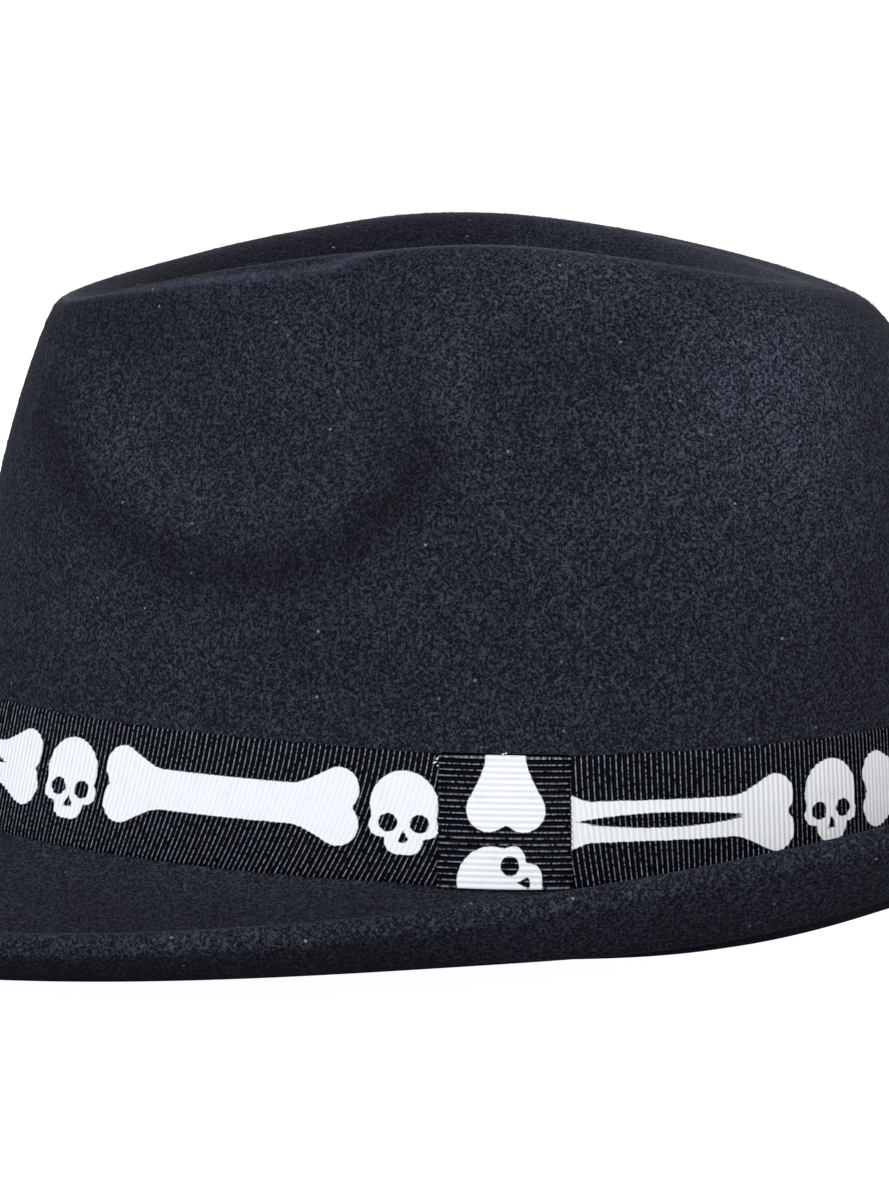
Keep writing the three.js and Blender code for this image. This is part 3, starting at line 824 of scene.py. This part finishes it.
def painted_light_shade_shares(rows):
    """The felt's tone, 1 where the nap lies evenly: bells at the patches, and a dark crescent along the
    lower rim of each front pinch, where the nap is pressed flat."""
    x, y, z = rows[..., 0], rows[..., 1], rows[..., 2]
    tone = np.ones(x.shape)
    for along, height, reach, rise, amount in PAINTED_LIGHT_PATCHES:
        tone += amount * np.exp(-(((y - along) / reach) ** 2) - ((z - height) / rise) ** 2) * (z > 20)
    away = np.hypot(y - PINCH_Y, z - PINCH_Z)
    angle = np.arctan2(z - PINCH_Z, y - PINCH_Y)
    lower = smooth(-np.sin(angle), -0.1, 0.45) * (np.abs(x) > 20) * (z > 20)
    tone -= PINCH_PAINTED_SHADE * lower * np.exp(-(((away - PINCH_SHADE_RADIUS) / PINCH_SHADE_WIDTH) ** 2))
    order = np.arange(len(rows))[:, None]
    # painted shade over the dent
    tone -= DENT_PAINTED_SHADE * (1 - smooth(order, DENT_ROWS - 9, DENT_ROWS - 1))
    # painted shade over the brim's top face, short of its edge
    return tone - BRIM_TOP_PAINTED_SHADE * smooth(order, FIRST_BRIM_ROW, FIRST_BRIM_ROW + 12) * (order < LAST_BRIM_ROW - 6)


def build_felt_body():
    t = np.linspace(0, 2 * np.pi, 400, endpoint=False)
    rows, highlight_and_cut_edge = felt_rows(t)
    # the painted highlights and the painted light and shade ride on the mesh as point values
    piece = lofted("blocked_felt_body", rows, values={"highlight_and_cut_edge": highlight_and_cut_edge, "painted_light_shade": painted_light_shade_shares(rows)})
    return dress(piece, wool_felt(), "felt", "felt_body")


# ---- Ribbon print ----------------------------------------------------------------------------------------
def ellipse(x, y, middle, radii):
    """Distance outside an ellipse, nearly: the scaled length less one, over the length of its gradient."""
    a, b = (x - middle[0]) / radii[0], (y - middle[1]) / radii[1]
    length = np.hypot(a, b)
    slope = np.hypot(a / radii[0], b / radii[1]) + 1e-9
    return length * (length - 1) / slope


def slab(x, y, middle, halves, corner):
    """Distance outside a rectangle with rounded corners."""
    a = np.abs(x - middle[0]) - halves[0] + corner
    b = np.abs(y - middle[1]) - halves[1] + corner
    return np.hypot(np.maximum(a, 0), np.maximum(b, 0)) + np.minimum(np.maximum(a, b), 0) - corner


def joined(a, b, blend):
    """The nearer of two shapes, with their meeting filled over the given distance."""
    share = np.clip(0.5 + 0.5 * (b - a) / blend, 0, 1)
    return b + (a - b) * share - blend * share * (1 - share)


def skull(x, y):
    """Depth inside a plain skull with its top at y = 0: a round cranium, cheeks and a short jaw, less two
    round eyes and a three-sided nose."""
    half = SKULL_WIDTH / 2
    cranium = ellipse(x, y, (0, -6.3), (half - 0.35, 6.3))
    cheeks = ellipse(np.abs(x), y, (half - 2.45, -10.2), (2.25, 2.1))
    jaw = slab(x, y, (0, -12.5), (half * 0.53, 2.9), 2.5)
    bone = joined(joined(cranium, cheeks, 0.5), jaw, 0.6)
    eyes = ellipse(np.abs(x), y, (half * 0.44, -9.6), (1.85, 1.7))
    nose = np.maximum(np.abs(x) * 0.9 + (y + 10.8) * 0.46, -(y + 13.2))
    return -np.maximum(np.maximum(bone, -eyes), -nose)


def bone(x, y, split):
    """Depth inside a bone along x, middle at the origin: a shaft between two pairs of round lobes, with a
    lens-shaped slit along a split one."""
    half = BONE_LENGTH / 2
    across = np.abs(x)
    lobe, spread = 4.05, 3.2
    upper, lower = (ellipse(across, y, (half - lobe, side * spread), (lobe, lobe)) for side in (1, -1))
    lobes = joined(upper, lower, 0.9)
    root = ellipse(across, y, (half - 7.6, 0), (3.8, 4.9))
    knob = joined(lobes, root, 2.2)
    shaft = slab(x, y, (0, 0), (half - 6, 3.75), 0.5)
    shape = joined(shaft, knob, 3.2)
    if split:
        reach, wide = 18.0, 1.4
        radius = (reach**2 + wide**2) / (2 * wide)
        slit = np.hypot(x - 0.1, np.abs(y) + radius - wide) - radius
        shape = np.maximum(shape, -slit)
    return -shape


def band_print(along, up):
    """Depth inside the ink at a distance along the band and a height over its lower edge. Skulls and bones
    take turns, and the repeats on the wearer's right stand a little further apart, so that the last skull
    meets the keeper."""
    repeats = 7
    first_skull = FIRST_BONE + 36.5
    last_skull = LAST_SKULL + OVAL_LENGTH
    spare = last_skull - first_skull - repeats * PRINT_PITCH
    along = np.where(along < KEEPER_CENTRE, along + OVAL_LENGTH, along)
    depth = bone(along - FIRST_BONE, up - BONE_AXIS + FIRST_BONE_DROP, True)
    for k in range(repeats + 1):
        middle = first_skull + k * PRINT_PITCH + spare * smooth(k, 0.5, 5.5)
        depth = np.maximum(depth, skull(along - middle, up - SKULL_TOP))
        if k < repeats:
            after = first_skull + (k + 1) * PRINT_PITCH + spare * smooth(k + 1, 0.5, 5.5)
            depth = np.maximum(depth, bone(along - (middle + after) / 2, up - BONE_AXIS, k % 2 == 1))
    return depth


def keeper_print(down, across):
    """Depth inside the ink on the keeper, at a distance below its top fold and from its back edge: the same
    ribbon turned a quarter, so that the skull lies on its side."""
    bone_end, skull_middle = 13.9, 23.1
    bone_axis, skull_top = 12.05, 20.9
    end_of_bone = bone(down - (bone_end - BONE_LENGTH / 2), across - bone_axis, False)
    return np.maximum(end_of_bone, skull(down - skull_middle, across - skull_top))


# ---- Band and keeper -------------------------------------------------------------------------------------
def ribbon_leaf():
    """One ribbon and the space to the next piece."""
    return RIBBON_THICKNESS + GAP


def band_stand_off(t):
    """Distance of the band's back off the felt: close, and easing out over the keeper's back leaf."""
    half = sizes().ribbon_width / MM / 2
    middle = turn_at(KEEPER_CENTRE)
    away = np.abs(np.arctan2(np.sin(t - middle), np.cos(t - middle)))
    past = away - (turn_at(KEEPER_CENTRE + half) - turn_at(KEEPER_CENTRE - half)) / 2
    ease = KEEPER_EASE / HALF_LENGTH * 1.1
    return GAP + ribbon_leaf() * (1 - smooth(past, 0.01, ease))


def rib_lean(along, up, width):
    """How far the ribs lean along the ribbon, in millimetres: the keeper pulls the band's lower edge, so
    the ribs in front of it slope back at the bottom and the ones behind it slope forward a little."""
    front = smooth(along, -120, -12) * (along < KEEPER_CENTRE)
    back = (1 - smooth(along, 20, 50)) * (along > KEEPER_CENTRE)
    low = np.clip(1 - up / width, 0, 1)
    return (7.0 * front - 2.2 * back) * low**1.9 - 1.3 * front * (1 - low) ** 2


def build_hat_band():
    """The band: columns of points follow the ribs, four to a rib, round the oval from the keeper's middle
    back to it. The face is the wall moved out by the stand-off, the thickness and the ribs' cosine."""
    size = sizes()
    width, pitch, depth = size.ribbon_width / MM, size.rib_pitch / MM, size.rib_depth / MM
    ribs = int(round((OVAL_LENGTH - 1) / pitch))
    along = np.linspace(KEEPER_CENTRE + 0.3 - OVAL_LENGTH, KEEPER_CENTRE - 0.3, ribs * 4 + 1)[:, None]
    rib = 0.5 - 0.5 * np.cos(np.arange(len(along)) * np.pi / 2)[:, None]
    share = 0.5 - 0.5 * np.cos(np.linspace(0, np.pi, 35)) ** 1
    even = np.linspace(0, 1, 35)
    share = (0.25 * share + 0.75 * even)[None, :]
    straight = np.where(along < KEEPER_CENTRE - OVAL_LENGTH / 2, along + OVAL_LENGTH, along)
    gathered = width - KEEPER_GATHER * np.exp(-(((straight - KEEPER_CENTRE) / GATHER_REACH) ** 2))
    up = share * gathered
    lean = rib_lean(straight, up, width)
    # the weft's turns at each edge stand out as small loops
    scallop = 0.14 * (rib - 0.5) * (smooth(share, 0.985, 1) - (1 - smooth(share, 0, 0.015)))
    edge = np.minimum(up, gathered - up)
    rounding = 0.16 * (1 - smooth(edge, 0, 0.7))
    where = along - lean
    t = turn_at(where)
    # soft sag of the cloth between the places where it is tacked
    sag = 0.12 * np.sin(where / 17 + up / 9) + 0.08 * np.sin(where / 7.3 + 2 + up / 21)
    face_off = band_stand_off(t) + RIBBON_THICKNESS - depth + depth * rib - rounding + 0.1 + np.maximum(0, sag)
    face = wall_at(t, RIBBON_LIFT + up + scallop, face_off)
    back_up = np.linspace(1, 0, 6)[None, :] * gathered
    back_t = turn_at(along - rib_lean(straight, back_up, width))
    back = wall_at(back_t, RIBBON_LIFT + back_up, band_stand_off(back_t))
    grid = np.concatenate([face, back], axis=1)
    print_along = np.where(where < KEEPER_CENTRE - OVAL_LENGTH / 2, where + OVAL_LENGTH, where)
    ink = np.concatenate([band_print(print_along, up + 0 * where), np.full(back_up.shape, -9.0)], axis=1)
    ribs_on = np.concatenate([rib + 0 * up, 0 * back_up], axis=1)
    cloth_along = np.concatenate([where, along + 0 * back_up], axis=1)
    cloth_up = np.concatenate([up + 0 * along, back_up], axis=1)
    uv = np.stack([cloth_along, cloth_up], axis=-1) * MM
    piece = lofted("printed_hat_band", grid, values={"ink": ink, "rib": ribs_on}, uv=uv)
    dress(piece, bpy.data.materials.get("printed grosgrain") or grosgrain(), "ribbon", "hat_band")
    return piece


def keeper_path(width, rib_pitch):
    """Middle line of the keeper's loop as distance off the felt, height, and distance below the top fold:
    down the back leaf, round the lower fold, up the front, over the top, and down to the other end."""
    half = RIBBON_THICKNESS / 2
    near, far = GAP + half, GAP + half + 2 * ribbon_leaf()
    low, high = RIBBON_LIFT - KEEPER_SLACK - half, RIBBON_LIFT + width - KEEPER_GATHER + KEEPER_SLACK + half
    middle, end = (low + high) / 2, KEEPER_END_GAP / 2
    bend = (far - near) / 2
    squash = 0.75
    steps = int((high - low) / rib_pitch * 4)
    arc = np.linspace(0, np.pi, 9)[1:-1]
    down_back = np.linspace(middle - end, low + bend * squash, 12)
    up_front = np.linspace(low + bend * squash, high - bend * squash, steps)
    down_again = np.linspace(high - bend * squash, middle + end, 12)
    off = np.concatenate(
        [np.full(12, near), near + bend * (1 - np.cos(arc)), np.full(steps, far),
         far - bend * (1 - np.cos(arc)), np.full(12, near)]
    )
    height = np.concatenate(
        [down_back, low + bend * squash * (1 - np.sin(arc)), up_front,
         high - bend * squash * (1 - np.sin(arc)), down_again]
    )
    return off, height, high


def build_band_keeper():
    """The keeper: its middle line is carried along the oval, and the face is moved out by half the thickness
    and the ribs' cosine, which now run level."""
    size = sizes()
    width, pitch, depth = size.ribbon_width / MM, size.rib_pitch / MM, size.rib_depth / MM
    off, height, top = keeper_path(width, pitch)
    step = np.hypot(np.gradient(off), np.gradient(height))
    normal_off, normal_up = np.gradient(height) / step, -np.gradient(off) / step
    gone = np.cumsum(np.hypot(np.diff(off, prepend=off[0]), np.diff(height, prepend=height[0])))
    rib = (0.5 - 0.5 * np.cos(gone / pitch * 2 * np.pi))[:, None]
    across = np.linspace(-width / 2, width / 2, 37)[None, :]
    edge = width / 2 - np.abs(across)
    rounding = 0.16 * (1 - smooth(edge, 0, 0.7))
    scallop = 0.14 * (rib - 0.5) * np.sign(across) * (1 - smooth(edge, 0, 0.3))
    half = RIBBON_THICKNESS / 2
    bulge = 0.3 * smooth(off[:, None], 1.2, 1.9) * (1 - (across * 2 / width) ** 2)
    out = half - depth + depth * rib + 0.1 - rounding + bulge
    t = turn_at(KEEPER_CENTRE + across + scallop)
    t = t + 0 * off[:, None]
    face = wall_at(t, height[:, None] + normal_up[:, None] * out, off[:, None] + normal_off[:, None] * out)
    flipped = t[:, ::-1]
    back = wall_at(
        flipped, height[:, None] - normal_up[:, None] * half + 0 * t, off[:, None] - normal_off[:, None] * half
    )
    grid = np.concatenate([face, back], axis=1)
    down = (top - height)[:, None] + 0 * across
    on_front = (off[:, None] > off.mean()) + 0 * across
    ink = np.where(on_front > 0, keeper_print(down, width / 2 - across + 0 * down), -9.0)
    ink = np.concatenate([ink, np.full(back.shape[:2], -9.0)], axis=1)
    ribs_on = np.concatenate([rib + 0 * across, np.zeros(back.shape[:2])], axis=1)
    cloth = np.stack([gone[:, None] + 0 * across, across + 0 * down], axis=-1)
    uv = np.concatenate([cloth, cloth[:, ::-1]], axis=1) * MM
    piece = lofted("printed_keeper", grid, ends="rungs", values={"ink": ink, "rib": ribs_on}, uv=uv)
    dress(piece, bpy.data.materials.get("printed grosgrain") or grosgrain(), "ribbon", "band_keeper")
    return piece


# ---- Threads ---------------------------------------------------------------------------------------------
def swollen(shares, radius, count):
    """Radius along a strand: full in the middle, and falling to nothing at the ends by a sine to the 0.4."""
    return np.broadcast_to(radius * np.sin(np.pi * shares) ** 0.4, (count, len(shares)))


def tack_paths(t, spread):
    """Three threads side by side from the felt over the band's top edge and down its face."""
    off = GAP + RIBBON_THICKNESS + GAP + 0.1
    top = RIBBON_LIFT + sizes().ribbon_width / MM + GAP + 0.15
    offs = np.array([0.1, 0.25, off * 0.6, off, off + 0.2, off + 0.2, off + 0.1])
    heights = np.array([top + 0.1, top + 0.25, top + 0.3, top + 0.2, top - 0.5, top - 1.5, top - TACK_DROP])
    turns = t + np.array([-1, 0, 1])[:, None] * spread / HALF_LENGTH
    turns = turns + np.linspace(-0.2, 0.2, 7)[None, :] / HALF_LENGTH
    return wall_at(turns, heights[None, :] + 0 * turns, offs[None, :] + 0 * turns)


def build_threads():
    """Sewing thread: the tacks that hold the band up, and the whipping that joins the keeper's ends."""
    thread = plain_weave("spun polyester thread", colours().thread, 0.3, 0.55, 0.5)
    shares = np.linspace(0, 1, 7)
    for name, t in (("front", -np.pi / 2), ("back", np.pi / 2), ("right", np.pi)):
        paths = tack_paths(t, 0.75)
        piece = strands(f"tack_threads_{name}", paths, swollen(shares, 0.2, 3), 8)
        dress(piece, thread, "thread", f"band_tack_{name}")
    width = sizes().ribbon_width / MM
    count = 22
    middle = RIBBON_LIFT + width / 2
    starts = KEEPER_CENTRE + np.linspace(-0.38, 0.38, count) * width
    along = starts[:, None] + np.linspace(-0.3, 0.3, 7)[None, :]
    t = turn_at(along)
    heights = middle + np.linspace(-0.28, 0.28, 7)[None, :] + 0 * t
    offs = GAP + 0.2 + 0.1 * np.sin(np.pi * shares)[None, :] + 0 * t
    piece = strands("keeper_whipping", wall_at(t, heights, offs), swollen(shares, 0.16, count), 8)
    dress(piece, thread, "thread", "keeper_tack")


def build_frayed_ends():
    """A few ends of white warp that the cut and the print left standing at the keeper's top fold."""
    random = np.random.default_rng(41)
    top = RIBBON_LIFT + sizes().ribbon_width / MM - KEEPER_GATHER + RIBBON_THICKNESS
    far = GAP + RIBBON_THICKNESS + 2 * ribbon_leaf()
    spots = np.concatenate([random.normal(-3.6, 0.35, 5), random.normal(10.2, 1.0, 5)])
    drops = np.concatenate([random.uniform(0.2, 2.6, 5), random.uniform(-0.2, 0.3, 5)])
    stations = np.linspace(0, 1, 6)[None, :]
    along = spots[:, None] + random.uniform(-0.6, 0.6, (10, 1)) * stations
    heights = top - drops[:, None] + (0.7 * stations - 0.5 * stations**2) * random.uniform(0.4, 1.3, (10, 1))
    offs = far + 0.1 + 0.3 * np.sin(np.pi * stations) * random.uniform(0.5, 1.2, (10, 1))
    paths = wall_at(turn_at(along), heights, offs)
    piece = strands("frayed_warp_ends", paths, swollen(np.linspace(0, 1, 6), 0.15, 10), 6)
    white = plain_weave("undyed warp thread", colours().ink, 0.2, 0.6, 0.2)
    return dress(piece, white, "thread")


# ---- Sweatband -------------------------------------------------------------------------------------------
def inside_strip(name, start, end, stations, low, high, near, thickness, ripple=0.0):
    """A strip on the inside of the crown: the wall moved in, between two heights and two distances along
    the oval, with rounded edges and a low ripple along its length."""
    along = np.linspace(start, end, stations)[:, None]
    up = np.linspace(low, high, 9)[None, :]
    rounding = thickness * 0.25 * (1 - smooth(np.minimum(up - low, high - up), 0, 0.8))
    wave = ripple * np.sin(along / 23) * np.sin((up - low) / 11)
    t = turn_at(along) + 0 * up
    outer = wall_at(t, up + 0 * t, near + thickness - rounding + wave * 0)
    inner = wall_at(t[:, ::-1], up[:, ::-1] + 0 * t, (near + rounding + wave)[:, ::-1])
    cloth = np.stack(np.broadcast_arrays(along, up), axis=-1)
    uv = np.concatenate([cloth, cloth[:, ::-1]], axis=1) * MM
    return lofted(name, np.concatenate([outer, inner], axis=1), ends="rungs", uv=uv)


def build_sweatband():
    """The sweatband with its cord, its row of stitches, the tape over its joint and the blank size tab."""
    colour = colours().sweatband
    cloth = plain_weave("woven cotton sweatband", colour, 0.7, 0.6, 0.45)
    near = -FELT - SWEAT_STAND_OFF - SWEAT_THICKNESS
    back = float(np.interp(np.pi / 2, TABLE_TURNS, TABLE_DISTANCES))
    half_gap = SWEAT_END_GAP / 2
    strip = inside_strip(
        "sweatband_strip", back + half_gap - OVAL_LENGTH, back - half_gap, 300, GAP, SWEAT_HEIGHT, near,
        SWEAT_THICKNESS, 0.1,
    )
    dress(strip, cloth, "sweatband", "sweatband")

    t = np.linspace(0, 2 * np.pi, 360, endpoint=False)[:, None]
    angle = np.linspace(0, 2 * np.pi, 12, endpoint=False)[None, :]
    # the cord's cover is gathered by its stitches, a shallow dip every 4 mm
    gathered = PIPING_RADIUS * (1 - 0.06 * (0.5 + 0.5 * np.cos(t * 150)))
    middle = near + SWEAT_THICKNESS / 2 - 0.35
    cord = wall_at(t + 0 * angle, -PIPING_RADIUS + gathered * np.sin(angle), middle + gathered * np.cos(angle))
    dress(lofted("sweatband_cord", cord, loop_rows=True), cloth, "sweatband", "sweatband_piping")

    count = 144
    middles = np.arange(count) * OVAL_LENGTH / count
    shares = np.linspace(0, 1, 6)
    along = middles[:, None] + (shares[None, :] - 0.5) * 3.1
    lift = near - 0.12 - 0.2 * np.sin(np.pi * shares)[None, :] ** 0.5
    paths = wall_at(turn_at(along), SEAM_HEIGHT + 0 * along, lift + 0 * along)
    thread = bpy.data.materials["spun polyester thread"]
    stitches = strands("sweatband_stitches", paths, swollen(shares, 0.2, count), 6)
    dress(stitches, thread, "thread", "sweatband_seam")

    low = SEAM_HEIGHT + 0.22 + GAP
    high = SWEAT_HEIGHT - 0.5
    tape_half = TAPE_WIDTH / 2 * HALF_LENGTH / HALF_LENGTH
    tape_near = near - GAP - TAPE_THICKNESS
    tape = inside_strip(
        "joint_tape", back - tape_half, back + tape_half, 16, low, high, tape_near, TAPE_THICKNESS
    )
    dress(tape, plain_weave("cotton tape", colour, 0.5, 0.7, 0.5), "sweatband", "sweatband_joint_tape")

    middle = float(np.interp(math.radians(LABEL_TURN), TABLE_TURNS, TABLE_DISTANCES))
    label_half = LABEL_WIDTH / 2 * 0.86
    label = inside_strip(
        "blank_size_tab", middle - label_half, middle + label_half, 20, LABEL_BASE, LABEL_BASE + LABEL_HEIGHT,
        near - GAP - LABEL_THICKNESS, LABEL_THICKNESS,
    )
    dress(label, plain_weave("woven satin tab", colours().label, 0.25, 0.35, 0.12), "label", "size_label")


def finish_brim_wire():
    """The wire and its sleeve keep their own shape and get their metal."""
    steel = drawn_metal("drawn spring steel", from_hex("9a9da3"), 0.35)
    brass = drawn_metal("pressed brass", from_hex("b08d4f"), 0.35)
    for node, material in (("brim_wire", steel), ("brim_wire_sleeve", brass)):
        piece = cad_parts[node]
        piece.data.materials.clear()
        piece.data.materials.append(material)


# ---- Loose fibres ----------------------------------------------------------------------------------------
def build_fibres():
    """Loose fibres: each is a shallow arc in the felt's tangent plane, from a random place on the outer
    face, chosen by area, that lifts at one end by a square law."""
    size = sizes()
    random = np.random.default_rng(7)
    t = np.linspace(0, 2 * np.pi, 240, endpoint=False)
    rows, normals, _ = felt_outside(t)
    rows = rows + normals * felt_give(rows, t[None, :])[..., None]
    after = np.roll(rows, -1, axis=1)
    area = np.linalg.norm(np.cross(rows[1:] - rows[:-1], (after - rows)[:-1]), axis=-1)
    behind_band = (rows[:-1, :, 2] > RIBBON_LIFT - 1) & (rows[:-1, :, 2] < RIBBON_LIFT + 27.5)
    on_wall = np.linalg.norm(rows[:-1, :, :2], axis=-1) < np.linalg.norm(oval(t)[:, :2], axis=-1) + 2
    area = np.where(behind_band & on_wall, 0, area).ravel()
    count = size.fibre_count
    cell = random.choice(len(area), count, p=area / area.sum())
    i, j = np.divmod(cell, len(t))
    a, b = random.random((2, count, 1))
    here = rows[i, j] * (1 - a) * (1 - b) + rows[i + 1, j] * a * (1 - b)
    here = here + after[i, j] * (1 - a) * b + after[i + 1, j] * a * b
    up = normals[i, j]
    side = unit(np.cross(up, unit(random.normal(size=(count, 3)))))
    ahead = np.cross(up, side)
    length = size.fibre_length / MM * random.lognormal(0, 0.4, (count, 1, 1))
    share = np.linspace(0, 1, 4)[None, :, None]
    curl = random.normal(0, 0.5, (count, 1, 1))
    lift = random.gamma(1.6, 0.09, (count, 1, 1))
    paths = (
        here[:, None]
        + ahead[:, None] * length * (share - 0.5)
        + side[:, None] * length * curl * (share - 0.5) ** 2
        + up[:, None] * (length * lift * share**2 + 0.02)
    )
    thick = size.fibre_radius / MM * np.broadcast_to([0, 1, 0.8, 0], (count, 4))
    shade = np.clip(random.beta(1.5, 3.2, count), 0, 1)
    piece = strands("loose_felt_fibres", paths, thick, 3, {"shade": shade})
    return dress(piece, loose_wool(), "felt")


# ---- Studio ----------------------------------------------------------------------------------------------
# sky brightness by the sine of the elevation: dark below the horizon, white along it and dim overhead
SKY = ((-1.0, 0.02), (-0.1, 0.04), (-0.04, 1.05), (0.12, 1.05), (0.24, 0.5), (0.5, 0.15), (1.0, 0.08))
CAMERA_PLACE = Vector((0.8399, -0.0230, 0.1929))
CAMERA_AIM = Vector((0.0, 0.0020, 0.0632))
CAMERA_ROLL = math.radians(0.84)
LENS = 125.5


def soft_light(name, place, aim, size, power, colour):
    """A square softbox at place that faces aim, in metres and watts."""
    light = bpy.data.lights.new(name, "AREA")
    light.shape = "SQUARE"
    light.size = size
    light.energy = power
    light.color = from_hex(colour)
    lamp = bpy.data.objects.new(name, light)
    lamp.matrix_world = looking(Vector(place), Vector(aim), 0)
    bpy.context.scene.collection.objects.link(lamp)


def looking(place, aim, roll):
    """Placement whose -Z points from place to aim, with +Y up, turned by roll about the line of sight."""
    back = (place - aim).normalized()
    right = Vector((0, 0, 1)).cross(back).normalized()
    up = back.cross(right)
    tilted = right * math.cos(roll) + up * math.sin(roll)
    upright = back.cross(tilted)
    turn = Matrix((tilted, upright, back)).transposed().to_4x4()
    return Matrix.Translation(place) @ turn


def build_studio():
    """A pale floor, an even pale sky, three softboxes and the camera."""
    reach = 60.0
    mesh = bpy.data.meshes.new("studio_floor")
    mesh.from_pydata([(-reach, -reach, 0), (reach, -reach, 0), (reach, reach, 0), (-reach, reach, 0)], [], [(0, 1, 2, 3)])
    floor = bpy.data.objects.new("studio_floor", mesh)
    bpy.context.scene.collection.objects.link(floor)
    m = new_material("backlit white acrylic")
    place = add_node(m, "ShaderNodeTexCoord").outputs["Object"]
    grain = add_node(m, "ShaderNodeTexNoise", {"Vector": place, "Scale": 900, "Detail": 2})
    rough = add_node(m, "ShaderNodeMapRange", {"Value": grain.outputs["Fac"], "To Min": 0.8, "To Max": 0.95})
    shader = add_node(
        m, "ShaderNodeBsdfPrincipled",
        {
            "Base Color": rgba([0.35 * c for c in colours().floor]),
            "Roughness": rough.outputs[0],
            "Specular IOR Level": 0.1,
            "Emission Color": rgba(colours().floor),
            "Emission Strength": 1.06,
        },
    )
    mesh.materials.append(finish_material(m, shader))
    # the floor glows for the camera alone, so that it doesn't light the brim from below
    floor.visible_diffuse = False
    floor.visible_glossy = False

    world = bpy.data.worlds.new("studio_sky")
    world.use_nodes = True
    world.node_tree.nodes.clear()
    direction = add_node(world, "ShaderNodeTexCoord").outputs["Generated"]
    height = add_node(world, "ShaderNodeSeparateXYZ", {0: direction}).outputs["Z"]
    share = add_node(world, "ShaderNodeMath", {0: height, 1: 0.5, 2: 0.5}, operation="MULTIPLY_ADD")
    ramp = add_node(world, "ShaderNodeValToRGB", {"Fac": share.outputs[0]})
    stops = ramp.color_ramp.elements
    while len(stops) < len(SKY):
        stops.new(0.5)
    for stop, (sine, brightness) in zip(stops, SKY):
        stop.position = 0.5 + 0.5 * sine
        stop.color = rgba([brightness] * 3)
    background = add_node(world, "ShaderNodeBackground", {"Color": ramp.outputs[0], "Strength": 1.0})
    add_node(world, "ShaderNodeOutputWorld", {"Surface": background.outputs[0]})
    bpy.context.scene.world = world
    aim = (0, 0, 0.07)
    soft_light("key_softbox", (1.15, 0.20, 0.62), aim, 0.7, 11.0, "fffdfa")
    soft_light("front_softbox", (1.1, -0.9, 0.45), aim, 0.8, 6.5, "f6f9ff")
    soft_light("far_softbox", (-1.25, -0.1, 0.4), aim, 0.8, 10, "f6f9ff")
    soft_light("nose_softbox", (-0.1, -1.35, 0.35), aim, 0.8, 4.5, "f6f9ff")
    soft_light("tail_softbox", (-0.3, 1.35, 0.4), aim, 0.8, 4, "f6f9ff")

    lens = bpy.data.cameras.new("camera")
    lens.lens = LENS
    lens.clip_start = 0.05
    camera = bpy.data.objects.new("camera", lens)
    camera.matrix_world = looking(CAMERA_PLACE, CAMERA_AIM, CAMERA_ROLL)
    bpy.context.scene.collection.objects.link(camera)
    bpy.context.scene.camera = camera
    bpy.context.scene.view_settings.view_transform = "Standard"


# ---- Operators and panel ---------------------------------------------------------------------------------
def operator(idname, label, doc, work):
    """An operator class that runs one builder."""

    def execute(self, context):
        work()
        return {"FINISHED"}

    name = "TRILBY_OT_" + idname
    body = {"bl_idname": "trilby." + idname, "bl_label": label, "__doc__": doc, "execute": execute}
    return type(name, (bpy.types.Operator,), body)


OPERATORS = [
    operator("studio", "Studio", "Floor, sky, softboxes and camera", build_studio),
    operator("felt_body", "Felt body", "Crown, brim and turned hem in one blocked felt", build_felt_body),
    operator("hat_band", "Hat band", "Printed grosgrain round the crown", build_hat_band),
    operator("band_keeper", "Keeper", "Loop of the same ribbon over the band's ends", build_band_keeper),
    operator("threads", "Threads", "Tacks of the band and whipping of the keeper", build_threads),
    operator("frayed_ends", "Frayed ends", "White warp ends at the keeper's top fold", build_frayed_ends),
    operator("sweatband", "Sweatband", "Sweatband, cord, stitches, joint tape and size tab", build_sweatband),
    operator("brim_wire", "Brim wire", "Metal of the brim's wire and its sleeve", finish_brim_wire),
    operator("fibres", "Loose fibres", "Loose wool fibres that stand off the felt", build_fibres),
]


class TRILBY_PT_panel(bpy.types.Panel):
    """Sizes, colours and builders of the trilby"""

    bl_idname = "TRILBY_PT_panel"
    bl_label = "Felt trilby"
    bl_space_type = "VIEW_3D"
    bl_region_type = "UI"
    bl_category = "Trilby"

    def draw(self, context):
        for group in (context.scene.trilby_sizes, context.scene.trilby_colours):
            for key in group.__annotations__:
                self.layout.prop(group, key)
        for builder in OPERATORS:
            self.layout.operator(builder.bl_idname)


CLASSES = [TrilbySizes, TrilbyColours, *OPERATORS, TRILBY_PT_panel]


def register():
    for cls in CLASSES:
        bpy.utils.register_class(cls)
    bpy.types.Scene.trilby_sizes = bpy.props.PointerProperty(type=TrilbySizes)
    bpy.types.Scene.trilby_colours = bpy.props.PointerProperty(type=TrilbyColours)


def unregister():
    del bpy.types.Scene.trilby_colours
    del bpy.types.Scene.trilby_sizes
    for cls in reversed(CLASSES):
        bpy.utils.unregister_class(cls)


def main():
    register()
    for builder in OPERATORS:
        getattr(bpy.ops.trilby, builder.bl_idname.split(".")[1])()


if __name__ == "__main__":
    main()
